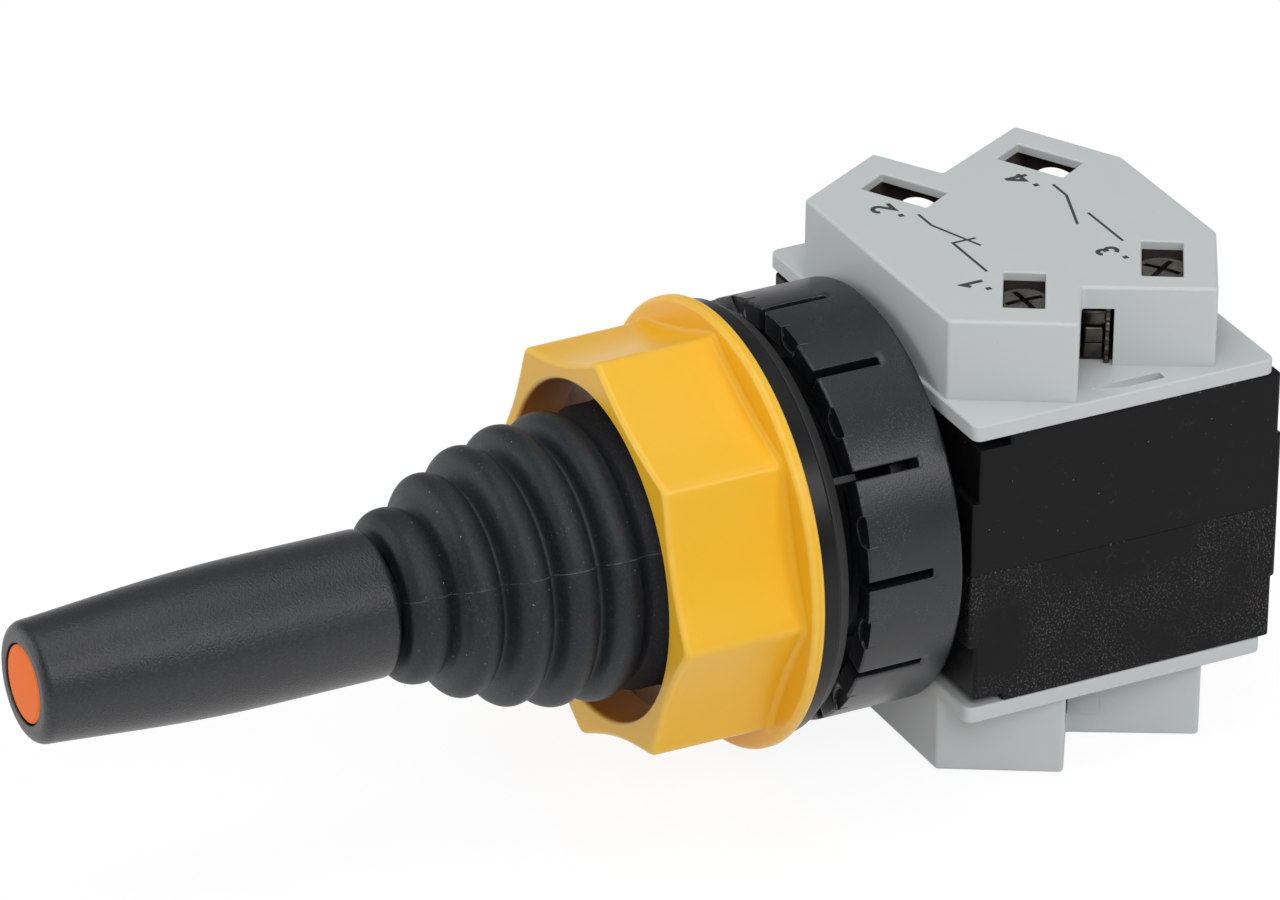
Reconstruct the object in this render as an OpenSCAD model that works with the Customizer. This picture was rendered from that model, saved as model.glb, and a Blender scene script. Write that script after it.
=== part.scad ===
// Two-position spring-return joystick head for a 30 mm panel hole, with two contact blocks.
// Millimetres. +Z up, -Y towards the operator, +X to the right.
// The origin is the centre of the collar's front rim, which is the plane of the panel's rear face.

/* [Grip] */
// Distance from the panel's rear face to the grip's tip
tip_reach = 83.8; // [80:0.1:95]
// Length of the grip
grip_length = 39; // [34:0.5:42]
// Diameter of the grip at its tip
grip_tip_d = 12.6; // [11.5:0.1:14]
// Diameter of the grip at its rear
grip_rear_d = 15.7; // [14.5:0.1:18]
// Share of the grip's length that tapers
taper_share = 0.66; // [0.4:0.02:0.9]
// Diameter of the spigot that the bellows slips over
spigot_d = 10; // [9:0.1:11]
// Length of the spigot
spigot_length = 3.2; // [2:0.1:4]
// Diameter of the coloured disc in the grip's tip
disc_d = 8.2; // [6:0.1:9]
// Thickness of the coloured disc
disc_t = 2; // [1:0.1:4]
// Diameter of the threaded brass insert in the grip
insert_d = 8.4; // [7.6:0.1:9]
// Length of the threaded brass insert
insert_length = 16; // [10:0.5:20]

/* [Lever] */
// Diameter of the lever's shaft
shaft_d = 6; // [5:0.1:6.4]
// Distance of the pivot behind the panel's rear face
pivot_depth = 12; // [11.5:0.1:12.4]
// Largest tilt of the lever to each side
tilt_limit = 10; // [6:0.5:10]
// Diameter of the pivot pin
pin_d = 4.4; // [3.6:0.1:4.6]
// Wall of the bronze sleeve on the pivot pin
sleeve_wall = 0.95; // [0.6:0.05:1]
// Diameter of the hub's barrel along the pivot axis
barrel_d = 10; // [9:0.1:10.4]
// Diameter of the hub's boss along the lever
hub_d = 9.2; // [8:0.1:9.6]
// Reach of the hub's boss to each side of the pivot
hub_reach = 8.5; // [7:0.1:9]
// Diameter of the ball at the lever's tail
ball_d = 6.4; // [5.6:0.1:6.8]
// Diameter of the lever's tail rod
tail_d = 4; // [3.4:0.1:4.4]
// Distance of the ball's centre behind the panel's rear face
ball_depth = 29.5; // [28.5:0.1:30.5]
// Size of the locknut across its flats
locknut_af = 9; // [8:0.1:9.4]
// Thickness of the locknut
locknut_t = 2.6; // [2:0.1:3.2]

/* [Bellows] */
// Number of folds
folds = 5; // [3:1:7]
// Radius of the fold nearest to the grip
first_fold_r = 9.2; // [8.6:0.1:10]
// Radius of the fold nearest to the nut
last_fold_r = 15.2; // [14.6:0.1:16]
// Depth of the valley between two folds
fold_depth = 2.9; // [1.5:0.1:3.2]
// Distance from the bellows' front edge to the top of the first fold
first_fold_room = 2.4; // [1.8:0.1:3]
// Distance from the top of the last fold to the nut
last_fold_room = 2.5; // [1.5:0.1:3]
// Wall of the bellows
bellows_wall = 1.2; // [0.8:0.1:1.4]
// Thickness of the bead that the retaining ring holds
bead_t = 1.8; // [1.2:0.1:2.4]

/* [Front seal] */
// Room for the panel between the gasket and the collar's rim
panel_gap = 2.1; // [2.1:0.1:6]
// Thickness of the rubber gasket
gasket_t = 1.5; // [1:0.1:3]
// How far the gasket's edge lies inside the thrust ring's
gasket_step = 0.3; // [0:0.05:1]
// How much the gasket narrows towards the panel, on its radius
gasket_taper = 0.8; // [0:0.1:1.4]
// Thickness of the thrust ring under the nut
ring_t = 2.2; // [1.5:0.1:3]
// How far the thrust ring's edge stands outside the collar's
ring_step = 0.65; // [0:0.05:1.2]
// Width of the gasket's locating lug
lug_w = 0.8; // [0.5:0.05:0.9]

/* [Bezel nut] */
// Diameter of the nut's round flange
flange_d = 48; // [46:0.1:56]
// Thickness of the nut's round flange
flange_t = 1.5; // [1:0.1:3]
// Size of the octagon across its corners
octagon_d = 44.8; // [44:0.1:46]
// Length of the octagon in front of the flange
octagon_length = 13.5; // [12:0.1:18]
// Depth of the hollow in the middle of each flat
flat_hollow = 0.6; // [0:0.05:0.8]
// Turn of the octagon about the lever's axis
octagon_turn = -3.3; // [-22.5:0.1:22.5]
// Diameter of the nut's front bore
nut_bore_d = 36; // [34.5:0.1:37]
// Depth of the nut's front bore
nut_bore_depth = 8.4; // [6:0.1:9.5]
// Thickness of the steel retaining ring
clip_t = 1.2; // [0.8:0.1:1.6]
// Depth of the retaining ring's groove in the nut
clip_bite = 0.6; // [0.3:0.05:0.8]

/* [Neck] */
// Outer diameter of the thread that passes through the panel
thread_d = 30; // [29:0.1:30.2]
// Pitch of the thread
thread_pitch = 1.5; // [1:0.1:2]
// Depth of the thread
thread_depth = 0.8; // [0.4:0.05:1]
// Length of the neck behind the panel's rear face, as far as its flange
neck_rear = 5.8; // [4.5:0.1:6.2]
// Room between the neck's flange and the collar
neck_flange_room = 1; // [0.5:0.1:3]
// Diameter of the bore around the lever's shaft
neck_bore_d = 22.6; // [20:0.1:23.4]
// Diameter of the bore around the pivot
pivot_bore_d = 17.2; // [17:0.1:17.8]
// Outer diameter of the tube that holds the pivot
pivot_tube_d = 23; // [22:0.1:23.4]
// Diameter of the retaining flange inside the chamber
tail_flange_d = 25.6; // [25:0.1:25.9]
// Thickness of the retaining flange inside the chamber
tail_flange_t = 2.4; // [1.6:0.1:3]

/* [Collar] */
// Outer diameter of the collar
collar_d = 44.9; // [44:0.1:47]
// Length of the collar
collar_length = 10.8; // [10.4:0.1:11]
// Wall of the collar
collar_wall = 2.45; // [2:0.05:2.9]
// Thickness of the collar's floor
collar_floor = 2.5; // [2:0.1:3]
// Number of slots in the collar's rim
slots = 12; // [6:1:18]
// Width of each slot
slot_w = 1; // [0.9:0.05:1.6]
// Length of each slot
slot_length = 7.4; // [4:0.1:8]
// Turn of the slots about the lever's axis
slot_turn = 4.4; // [0:0.1:15]
// Diameter of the half-round mark in the rim between two slots
mark_d = 3.4; // [2:0.1:4.5]
// Depth of the half-round mark
mark_depth = 0.3; // [0.1:0.05:1]

/* [Chamber] */
// How far the chamber's sides lie inside the collar's
chamber_inset = 0.05; // [0:0.05:0.4]
// Height of each half of the chamber
half_height = 15.5; // [15.5:0.1:17]
// Distance of the chamber's front behind the panel's rear face
chamber_front = 12.5; // [12.5:0.1:12.9]
// Distance from the chamber's front to its rear
chamber_length = 35.4; // [35.4:0.1:38]
// How far the middle band stands out at the front
band_proud_front = 0.7; // [0.4:0.05:0.8]
// How far the middle band stands out at the rear
band_proud_rear = 0.4; // [0.2:0.05:1]
// Half height of the middle band
band_half = 8.4; // [6:0.1:12]
// Wall of the chamber
chamber_wall = 2.2; // [1.6:0.1:2.6]
// Depth of the relief under the base plate's front edge
relief_depth = 1; // [0.4:0.1:1.4]
// Length of the relief under the base plate's front edge
relief_length = 3.5; // [2:0.1:5]
// Thickness of the chamber's roof
roof_t = 2.4; // [1.8:0.1:2.5]
// Diameter of the chamber's screws
case_screw_d = 3; // [2.5:0.1:3.4]
// Distance of the chamber's screws from its outer faces
case_screw_inset = 3.8; // [3.6:0.1:4.4]

/* [Actuating slide] */
// Width of the slide
slide_w = 21; // [19:0.2:22]
// Length of the slide along the lever
slide_length = 10; // [9:0.1:10.6]
// Half height of the slide
slide_half = 5.6; // [5.2:0.1:5.8]
// Half height of the slide with its pushers
pusher_half = 9.8; // [9:0.1:10]
// Clearance of the ball in the slide's slot
ball_clearance = 0.1; // [0.05:0.01:0.3]
// Clearance of each sliding piece in its guide
guide_clearance = 0.1; // [0.05:0.01:0.2]
// Diameter of each centring spring
centring_spring_d = 4.6; // [3.6:0.1:5]
// Distance of each centring spring from the middle
centring_spring_x = 6.8; // [6:0.1:7.2]

/* [Contact block] */
// Thickness of the block's base plate
base_t = 1.8; // [1.6:0.05:2.2]
// Length of the block's base plate
base_length = 35.3; // [35.3:0.1:37]
// Distance of the base plate behind the panel's rear face
base_front = 11.8; // [11.8:0.1:12.4]
// Height of the block's cover above the base plate
cover_height = 9; // [9:0.1:11]
// Thickness of the cover's roof above the terminals
cover_roof = 2.7; // [2.5:0.05:2.9]
// Turn of the terminals from the lever's axis
terminal_turn = 30; // [28:0.5:32]
// Distance of the terminal screws from the base plate's sides
terminal_inset = 9.6; // [9.4:0.1:9.8]
// Distance of the front terminal screws behind the panel's rear face
front_terminal_y = 22.5; // [22.3:0.1:22.7]
// Distance between the front and the rear terminal screws
terminal_pitch = 16.3; // [16.1:0.1:16.5]
// Half width of the room for a wire
wire_room = 4.15; // [4:0.05:4.3]
// Width of the screwdriver hole
driver_hole_w = 4.3; // [4:0.1:5]
// Length of the screwdriver hole
driver_hole_length = 8; // [7:0.1:8.2]
// Diameter of the terminal screws
terminal_screw_d = 3.5; // [3:0.1:4]
// Diameter of the terminal screws' heads
terminal_head_d = 6.2; // [5.4:0.1:6.4]
// Distance of each pair of contacts from the plunger's axis
contact_offset = 4; // [3.8:0.1:4.2]
// Distance of each contact bridge's ends from the terminal screws
bridge_inset = 6.65; // [6.5:0.05:7]
// Thickness of each contact bridge
bridge_t = 0.9; // [0.6:0.05:1]
// Diameter of each plunger's spring
plunger_spring_d = 3; // [2.6:0.1:3.4]

/* [Hidden] */
$fn = 64;
cut = 0.1;                  // how far a cutting tool runs past a face
soft_gap = 0.3;             // room between the bellows and the grip
running_gap = 0.05;         // radial clearance of the sleeve on its pin
thread_gap = 0.1;           // radial clearance between the two threads

// Widths that follow the collar and the thrust ring
neck_flange_d = collar_d - 2 * (collar_wall + neck_flange_room);
chamber_w = collar_d - 2 * chamber_inset;
base_half = chamber_w / 2;
terminal_x = base_half - terminal_inset;
bridge_half = terminal_x - bridge_inset;
ring_d = collar_d + 2 * ring_step;
gasket_d = ring_d - 2 * gasket_step;

// Places along the lever's axis, from the panel forwards
gasket_rear = -panel_gap;
gasket_front = gasket_rear - gasket_t;
ring_front = gasket_front - ring_t;
flange_front = ring_front - flange_t;
nut_front = flange_front - octagon_length;
neck_front = nut_front + nut_bore_depth;
bead_front = neck_front - bead_t;
clip_front = bead_front - clip_t;
grip_tip = -tip_reach;
grip_rear = grip_tip + grip_length;
spigot_rear = grip_rear + spigot_length;
bellows_front = grip_rear + soft_gap;

// Places along the lever's axis, from the panel backwards
band_front = chamber_front - band_proud_front;
inner_front = chamber_front + chamber_wall;
chamber_rear = chamber_front + chamber_length;
inner_rear = chamber_rear - chamber_wall;
collar_hub = band_front - collar_length;
collar_seat = collar_length - collar_floor;
tail_flange_rear = inner_front + tail_flange_t;
inner_height = half_height - roof_t;

// Motion
lever_arm = ball_depth - pivot_depth;
stroke = lever_arm * sin(tilt_limit);

// Contact block, heights above the bottom of its base plate
cover_top = base_t + cover_height;
terminal_ceiling = cover_top - cover_roof;
cavity_ceiling = cover_top - 1.1;
carrier_t = 3.2;
carrier_z = (cavity_ceiling - carrier_t) / 2;
bridge_z = carrier_z + carrier_t / 2 - bridge_t / 2 + 0.05;
strip_t = 1;
nc_top = bridge_z + bridge_t + 0.2;
no_bottom = bridge_z + bridge_t + stroke * 0.62;
head_t = 1.8;
head_z = terminal_ceiling - head_t - 0.1;
clamp_t = 0.9;
contact_w = 3;
contact_gap = 0.1;
blade_x = bridge_half + contact_gap;
blade_t = 0.6;
cavity_half = blade_x + 2 * blade_t + 0.7;
carrier_w = 6.4;
carrier_half_length = contact_offset + contact_w / 2 + 0.8;
stem_w = 4.8;
stem_length = half_height + carrier_z - pusher_half;
rear_terminal_y = front_terminal_y + terminal_pitch;
block_screw_d = 3;
block_screw_reach = 9.5;
block_head_d = 5.4;
block_head_t = 2;

function polar(r, a) = [r * cos(a), r * sin(a)];
function mix(a, b, t) = a + (b - a) * t;

// Turns a shape drawn along +Z so that it lies along +Y
module along_y() { rotate([-90, 0, 0]) children(); }

// A solid of revolution about the lever's axis, from a list of [radius, place along Y]
module turned(points) { along_y() rotate_extrude($fn = 96) polygon(points); }

// A tube about the lever's axis
module tube(outer_d, inner_d, from, to) {
    turned([[inner_d / 2, from], [outer_d / 2, from], [outer_d / 2, to], [inner_d / 2, to]]);
}

// A solid round bar about the lever's axis
module bar(d, from, to) { translate([0, from, 0]) along_y() cylinder(d = d, h = to - from); }

// A round bar along X, centred on the pivot
module cross_bar(d, half) {
    translate([-half, pivot_depth, 0]) rotate([0, 90, 0]) cylinder(d = d, h = 2 * half);
}

// A block given by its lowest and highest corners
module span(low, high) { translate(low) cube(high - low); }

module mirrored_x() { children(); mirror([1, 0, 0]) children(); }

// ---------- grip and lever ----------

function grip_radius(t) =
    mix(grip_tip_d, grip_rear_d, pow(sin(90 * min(1, t / taper_share)), 1.2)) / 2;

module grip_outline() {
    tip_round = 1.2;
    rear_round = 0.9;
    sides = 16;
    first = tip_round / grip_length;
    last = 1 - rear_round / grip_length;
    polygon(concat(
        [[0, grip_tip]],
        [for (i = [0:4]) [
            grip_radius(first) - tip_round * (1 - sin(90 * i / 4)),
            grip_tip + tip_round * (1 - cos(90 * i / 4))]],
        [for (i = [1:sides - 1]) let (t = mix(first, last, i / sides))
            [grip_radius(t), grip_tip + t * grip_length]],
        [for (i = [0:4]) [
            grip_radius(1) - rear_round * (1 - cos(90 * i / 4)),
            grip_rear - rear_round * (1 - sin(90 * i / 4))]],
        [[spigot_d / 2, grip_rear], [spigot_d / 2, spigot_rear], [0, spigot_rear]]
    ));
}

module handle_grip() {
    color("#232527") difference() {
        along_y() rotate_extrude($fn = 96) grip_outline();
        bar(disc_d + 0.2, grip_tip - cut, grip_tip + disc_t);
        bar(insert_d, grip_rear - insert_length, grip_rear);
        bar(shaft_d, grip_rear - insert_length - 2, spigot_rear + cut);
    }
}

module cap_insert() {
    color("#ee7c42") bar(disc_d, grip_tip + 0.1, grip_tip + disc_t);
}

module grip_thread_insert() {
    color("#b5934c") tube(insert_d, shaft_d, grip_rear - insert_length, grip_rear);
}

module lever_shaft() {
    shaft_end = pivot_depth - pin_d / 2 - sleeve_wall;
    color("#9a9ea2") bar(shaft_d, grip_rear - insert_length, shaft_end - 0.2);
}

module shaft_locknut() {
    color("#8c9094") difference() {
        translate([0, spigot_rear, 0]) along_y()
            cylinder(d = locknut_af / cos(30), h = locknut_t, $fn = 6);
        bar(shaft_d, spigot_rear - cut, spigot_rear + locknut_t + cut);
    }
}

sleeve_d = pin_d + 2 * sleeve_wall;
barrel_half = sqrt(pow(pivot_bore_d, 2) - pow(barrel_d, 2)) / 2 - 0.2;

module pivot_hub() {
    color("#a7abae") difference() {
        union() {
            cross_bar(barrel_d, barrel_half);
            bar(hub_d, pivot_depth - hub_reach, pivot_depth + hub_reach);
        }
        cross_bar(sleeve_d, barrel_half + cut);
        bar(shaft_d, pivot_depth - hub_reach - cut, pivot_depth - sleeve_d / 4);
        bar(shaft_d, pivot_depth + sleeve_d / 4, pivot_depth + hub_reach + cut);
    }
}

module pivot_sleeve() {
    color("#b08a4a") difference() {
        cross_bar(sleeve_d, barrel_half);
        cross_bar(pin_d + 2 * running_gap, barrel_half + cut);
    }
}

module lever_tail() {
    color("#9a9ea2") union() {
        bar(shaft_d, pivot_depth + sleeve_d / 2 + 0.2, pivot_depth + hub_reach);
        bar(tail_d, pivot_depth + hub_reach - 1, ball_depth);
        translate([0, ball_depth, 0]) sphere(d = ball_d);
    }
}

module pivot_pin() {
    color("#c3c6c8") cross_bar(pin_d, pivot_tube_d / 2 - 0.4);
}

// ---------- bellows ----------

first_fold = bellows_front + first_fold_room;
last_fold = nut_front - last_fold_room;
fold_pitch = (last_fold - first_fold) / (folds - 1);
neck_r = spigot_d / 2 + soft_gap + bellows_wall + 0.5;
skirt_r = thread_d / 2;

function fold_r(i) =
    mix(first_fold_r, last_fold_r, pow(sin(90 * i / (folds - 1)), 0.9));
function valley_r(i) =
    i == 0 ? neck_r
    : i == folds ? last_fold_r - fold_depth * 0.6
    : (fold_r(i - 1) + fold_r(i)) / 2 - fold_depth;

// Folds are half ellipses that stand on the line between their two valleys
fold_sides = 12;
fold_points = [for (i = [0:folds - 1]) for (k = [0:fold_sides - 1])
    let (s = -1 + 2 * k / fold_sides,
         floor_r = mix(valley_r(i), valley_r(i + 1), (s + 1) / 2))
    [mix(floor_r, fold_r(i), sqrt(1 - s * s)), first_fold + fold_pitch * (i + s / 2)]];

module bellows() {
    bead_r = nut_bore_d / 2 - 0.1;
    skirt_start = last_fold + fold_pitch / 2;
    inner_neck = spigot_d / 2 + soft_gap;
    outer = concat([[neck_r, bellows_front]], fold_points,
        [[valley_r(folds), skirt_start], [skirt_r, skirt_start + 1.6]]);
    inner = [for (i = [len(outer) - 1:-1:0])
        [max(outer[i][0] - bellows_wall, inner_neck), outer[i][1]]];
    color("#3a4047") turned(concat(outer,
        [[skirt_r, bead_front], [bead_r, bead_front], [bead_r, neck_front],
         [skirt_r - bellows_wall, neck_front]],
        inner));
}

module bellows_retaining_ring() {
    color("#b9bcbe") difference() {
        tube(nut_bore_d + 2 * clip_bite, thread_d + 2 * soft_gap, clip_front, bead_front);
        rotate([0, 60, 0]) translate([0, clip_front - cut, -1])
            cube([nut_bore_d, clip_t + 2 * cut, 2]);
    }
}

// ---------- front seal, nut and neck ----------

// Ridges of the thread, as [radius, place] with the stated gap added to the radius
function thread_points(gap, from, to) =
    [for (i = [0:floor((to - from) / thread_pitch)]) for (j = [0, 1])
        let (y = from + (i + j / 2) * thread_pitch)
        if (y < to) [thread_d / 2 + gap - (1 - j) * thread_depth, y]];

// An octagon whose flats are hollow arcs
module octagon_outline() {
    steps = 6;
    polygon([for (k = [0:7]) for (j = [0:steps - 1])
        let (a = -octagon_turn + 45 * k, t = j / steps,
             corner = polar(octagon_d / 2, a), next = polar(octagon_d / 2, a + 45))
        mix(corner, next, t) - polar(4 * flat_hollow * t * (1 - t), a + 22.5)]);
}

module bezel_nut() {
    rim = 0.4;
    color("#f5b62e") difference() {
        union() {
            translate([0, nut_front, 0]) along_y()
                linear_extrude(octagon_length) octagon_outline();
            turned([[0, flange_front], [flange_d / 2 - rim, flange_front],
                    [flange_d / 2, flange_front + rim], [flange_d / 2, ring_front - rim],
                    [flange_d / 2 - rim, ring_front], [0, ring_front]]);
        }
        bar(nut_bore_d, nut_front - cut, neck_front);
        bar(nut_bore_d + 2 * clip_bite, clip_front, bead_front);
        turned(concat([[0, neck_front - cut], [thread_d / 2 + thread_gap, neck_front - cut]],
            thread_points(thread_gap, neck_front, ring_front),
            [[thread_d / 2 + thread_gap, ring_front + cut], [0, ring_front + cut]]));
    }
}

module thrust_ring() {
    color("#1c1d1e") tube(ring_d, thread_d + 0.5, ring_front, gasket_front);
}

module front_gasket() {
    lug_r = collar_d / 2 - 0.15;
    lug_root = min(lug_r, gasket_d / 2 - gasket_taper) - 1.6;
    color("#2a2b2c") union() {
        turned([[thread_d / 2 + 0.25, gasket_front], [gasket_d / 2, gasket_front],
                [gasket_d / 2 - gasket_taper, gasket_rear], [thread_d / 2 + 0.25, gasket_rear]]);
        rotate([0, -slot_turn - 360 / slots, 0])
            span([lug_root, gasket_rear - 0.5, -lug_w / 2], [lug_r, 0.5, lug_w / 2]);
    }
}

module threaded_neck() {
    color("#1d1e20") difference() {
        union() {
            turned(concat([[neck_bore_d / 2, neck_front]],
                thread_points(0, neck_front, neck_rear),
                [[thread_d / 2 - thread_depth, neck_rear], [neck_bore_d / 2, neck_rear]]));
            tube(neck_flange_d, neck_bore_d, neck_rear, collar_seat);
            tube(pivot_tube_d, pivot_bore_d, collar_seat - cut, inner_front);
            tube(tail_flange_d, pivot_bore_d, inner_front, tail_flange_rear);
            tube(neck_bore_d + 1, pivot_bore_d, collar_seat - 1, collar_seat);
        }
        cross_bar(pin_d, pivot_tube_d);
    }
}

module slotted_collar() {
    rear_chamfer = 0.4;
    hub_r = tail_flange_d / 2 + 2.5;
    color("#1f2123") difference() {
        turned([[tail_flange_d / 2 + 0.1, collar_seat],
                [collar_d / 2 - collar_wall, collar_seat], [collar_d / 2 - collar_wall, 0],
                [collar_d / 2, 0], [collar_d / 2, collar_length - rear_chamfer],
                [collar_d / 2 - rear_chamfer, collar_length], [hub_r, collar_length],
                [hub_r, collar_length + collar_hub],
                [tail_flange_d / 2 + 0.1, collar_length + collar_hub]]);
        for (k = [0:slots - 1]) rotate([0, -slot_turn - k * 360 / slots, 0]) {
            span([collar_d / 2 - collar_wall - cut, -cut, -slot_w / 2],
                 [collar_d / 2 + cut, slot_length, slot_w / 2]);
            rotate([0, -180 / slots, 0]) translate([collar_d / 2, -cut, 0])
                along_y() cylinder(d = mark_d, h = mark_depth + cut);
        }
    }
}

// ---------- chamber and slide ----------

case_screw_x = chamber_w / 2 - case_screw_inset;
case_screw_y = [chamber_front + case_screw_inset, chamber_rear - case_screw_inset];
block_screw_y = [ball_depth - block_screw_reach, ball_depth + block_screw_reach];

module at_case_screws() {
    for (x = [-case_screw_x, case_screw_x]) for (y = case_screw_y) translate([x, y, 0]) children();
}

module at_block_screws() { for (y = block_screw_y) translate([0, y, 0]) children(); }

// One half of the chamber, drawn from its parting plane at z = 0 upwards
module chamber_half() {
    w = chamber_w / 2;
    slide_front = ball_depth - slide_length / 2 - guide_clearance;
    slide_rear = ball_depth + slide_length / 2 + guide_clearance;
    guide_x = slide_w / 2 + guide_clearance;
    rib = 1.6;
    boss_d = case_screw_d + 3.4;
    difference() {
        union() {
            difference() {
                union() {
                    span([-w, chamber_front, 0], [w, chamber_rear, half_height]);
                    span([-w, band_front, 0], [w, chamber_rear + band_proud_rear, band_half]);
                }
                span([-w + chamber_wall, inner_front, -cut],
                     [w - chamber_wall, inner_rear, inner_height]);
            }
            at_case_screws() cylinder(d = boss_d, h = inner_height + cut);
            at_block_screws() translate([0, 0, inner_height - 4])
                cylinder(d = block_screw_d + 2.6, h = 4 + cut);
            mirrored_x() {
                span([guide_x, slide_front - rib, 0], [guide_x + rib, slide_rear + rib, inner_height + cut]);
                for (y = [slide_front - rib, slide_rear])
                    span([guide_x - rib, y, 0], [guide_x + rib, y + rib, inner_height + cut]);
            }
        }
        bar(pivot_tube_d, band_front - cut, inner_front + cut);
        bar(tail_flange_d + 0.2, inner_front, tail_flange_rear + 0.1);
        span([-w - cut, chamber_front - cut, half_height - relief_depth],
             [w + cut, chamber_front + relief_length, half_height + cut]);
        translate([-stem_w / 2 - guide_clearance, ball_depth - stem_w / 2 - guide_clearance,
                   inner_height - cut])
            cube([stem_w + 2 * guide_clearance, stem_w + 2 * guide_clearance, roof_t + 2 * cut]);
        at_block_screws() translate([0, 0, inner_height - 3])
            cylinder(d = block_screw_d, h = roof_t + 3 + cut);
        at_case_screws() translate([0, 0, -cut])
            cylinder(d = case_screw_d, h = half_height - 3 + cut);
    }
}

module chamber_upper() { color("#1b1c1d") chamber_half(); }

module chamber_lower() {
    color("#242526") difference() {
        mirror([0, 0, 1]) chamber_half();
        at_case_screws() translate([0, 0, -half_height - cut])
            cylinder(d = case_screw_d, h = half_height);
        at_case_screws() translate([0, 0, -half_height - cut])
            cylinder(d = case_screw_d * 1.8, h = 2.4 + cut);
    }
}

module chamber_screws() {
    color("#a9adb0") at_case_screws() {
        translate([0, 0, -half_height + 0.2]) difference() {
            cylinder(d = case_screw_d * 1.75, h = 2.2);
            translate([-0.4, -case_screw_d, -cut]) cube([0.8, 2 * case_screw_d, 0.9]);
        }
        translate([0, 0, -half_height + 2.4])
            cylinder(d = case_screw_d, h = 2 * half_height - 5.4);
    }
}

module actuating_slide() {
    slot = ball_d / 2 + ball_clearance;
    front = ball_depth - slide_length / 2;
    rear = ball_depth + slide_length / 2;
    color("#d9d6cc") difference() {
        union() {
            span([-slide_w / 2, front, -slide_half], [slide_w / 2, rear, slide_half]);
            span([-stem_w / 2, ball_depth - stem_w / 2, -pusher_half],
                 [stem_w / 2, ball_depth + stem_w / 2, pusher_half]);
        }
        span([-slot, front - cut, -slot], [slot, rear - 1.4, slot]);
    }
}

// A coil spring: a round wire swept along a helix, as one closed mesh
module coil(d, wire, height, turns) {
    around = 14;
    sides = 6;
    rings = around * turns;
    mid = (d - wire) / 2;
    rise = height - wire;
    function ring_point(i, k) = let (a = 360 * i / around, b = 360 * k / sides,
        r = mid + wire / 2 * cos(b))
        [r * cos(a), r * sin(a), wire / 2 + rise * i / rings + wire / 2 * sin(b)];
    points = [for (i = [0:rings]) for (k = [0:sides - 1]) ring_point(i, k)];
    walls = [for (i = [0:rings - 1]) for (k = [0:sides - 1])
        let (n = (k + 1) % sides)
        [i * sides + k, i * sides + n, (i + 1) * sides + n, (i + 1) * sides + k]];
    first = [for (k = [sides - 1:-1:0]) k];
    last = [for (k = [0:sides - 1]) rings * sides + k];
    polyhedron(points, concat(walls, [first, last]), convexity = 8);
}

module centring_springs() {
    color("#bfc3c6") for (x = [-centring_spring_x, centring_spring_x])
        translate([x, ball_depth, slide_half])
            coil(centring_spring_d, 0.6, inner_height - slide_half, 4);
}

module centring_springs_upper() { centring_springs(); }
module centring_springs_lower() { mirror([0, 0, 1]) centring_springs(); }

// ---------- contact block, drawn from the bottom of its base plate upwards ----------

corner_round = 1;

// The cover's outline: two pairs of slanted lobes, mirrored left to right.
// Each lobe's outer side is parallel to its terminals.
module cover_outline() {
    front_y = base_front + 0.4;
    lobe_x = base_half - 0.4;
    right = [
        [terminal_x + 2.7, front_y],
        [lobe_x, front_terminal_y + 1.3],
        [terminal_x + 2, front_terminal_y + 5.7],
        [lobe_x - 0.7, rear_terminal_y + 1.7],
        [terminal_x - 3, rear_terminal_y + 8.2]];
    left = [for (i = [len(right) - 1:-1:0]) [-right[i][0], right[i][1]]];
    polygon(concat(right, left));
}

// Puts a shape at a terminal's screw, with +Y along the wire's way out
module at_terminal(y) {
    translate([terminal_x, y, 0]) rotate([0, 0, -terminal_turn]) children();
}

module at_terminals() {
    mirrored_x() for (y = [front_terminal_y, rear_terminal_y]) at_terminal(y) children();
}

// The wire's arched way out, as wide as the room round the terminal
module wire_way(reach) {
    arch_z = base_t + 1.3;
    translate([0, 3, arch_z]) along_y() cylinder(r = wire_room, h = reach);
    span([-wire_room, 3, base_t], [wire_room, 3 + reach, arch_z]);
}

// The strips between the contacts and the terminals, widened by a gap
module strips(y, contact_y, gap, start = blade_x) {
    span([start - gap, contact_y - contact_w / 2 - gap, base_t],
         [terminal_x - 0.8, contact_y + contact_w / 2 + gap, base_t + strip_t + gap]);
    link = terminal_x - 3.2;
    low = min(y, contact_y);
    high = max(y, contact_y);
    span([link - gap, low, base_t], [link + 2.6 + gap, high, base_t + strip_t + gap]);
}

front_contact_y = ball_depth - contact_offset;
rear_contact_y = ball_depth + contact_offset;

module base_outline() {
    w = base_half - corner_round;
    y0 = base_front + corner_round;
    y1 = base_front + base_length - corner_round;
    centres = [[w, y1, 0], [-w, y1, 90], [-w, y0, 180], [w, y0, 270]];
    polygon([for (c = centres) for (i = [0:4])
        [c[0], c[1]] + polar(corner_round, c[2] + 22.5 * i)]);
}

module block_base() {
    window_y = carrier_half_length + 0.3;
    groove_x = base_half - 2;
    color("#bcc2c2") difference() {
        linear_extrude(base_t) base_outline();
        span([-blade_x, ball_depth - window_y, -cut], [blade_x, ball_depth + window_y, base_t + cut]);
        at_block_screws() translate([0, 0, -cut]) cylinder(d = block_screw_d, h = base_t + 2 * cut);
        at_terminals() translate([0, 0, 0.5]) cylinder(d = terminal_screw_d + 0.3, h = base_t);
        mirrored_x() span([groove_x - 0.4, ball_depth - 3, base_t - 0.8],
                          [groove_x + 0.5, ball_depth + 4.8, base_t + cut]);
    }
}

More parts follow.
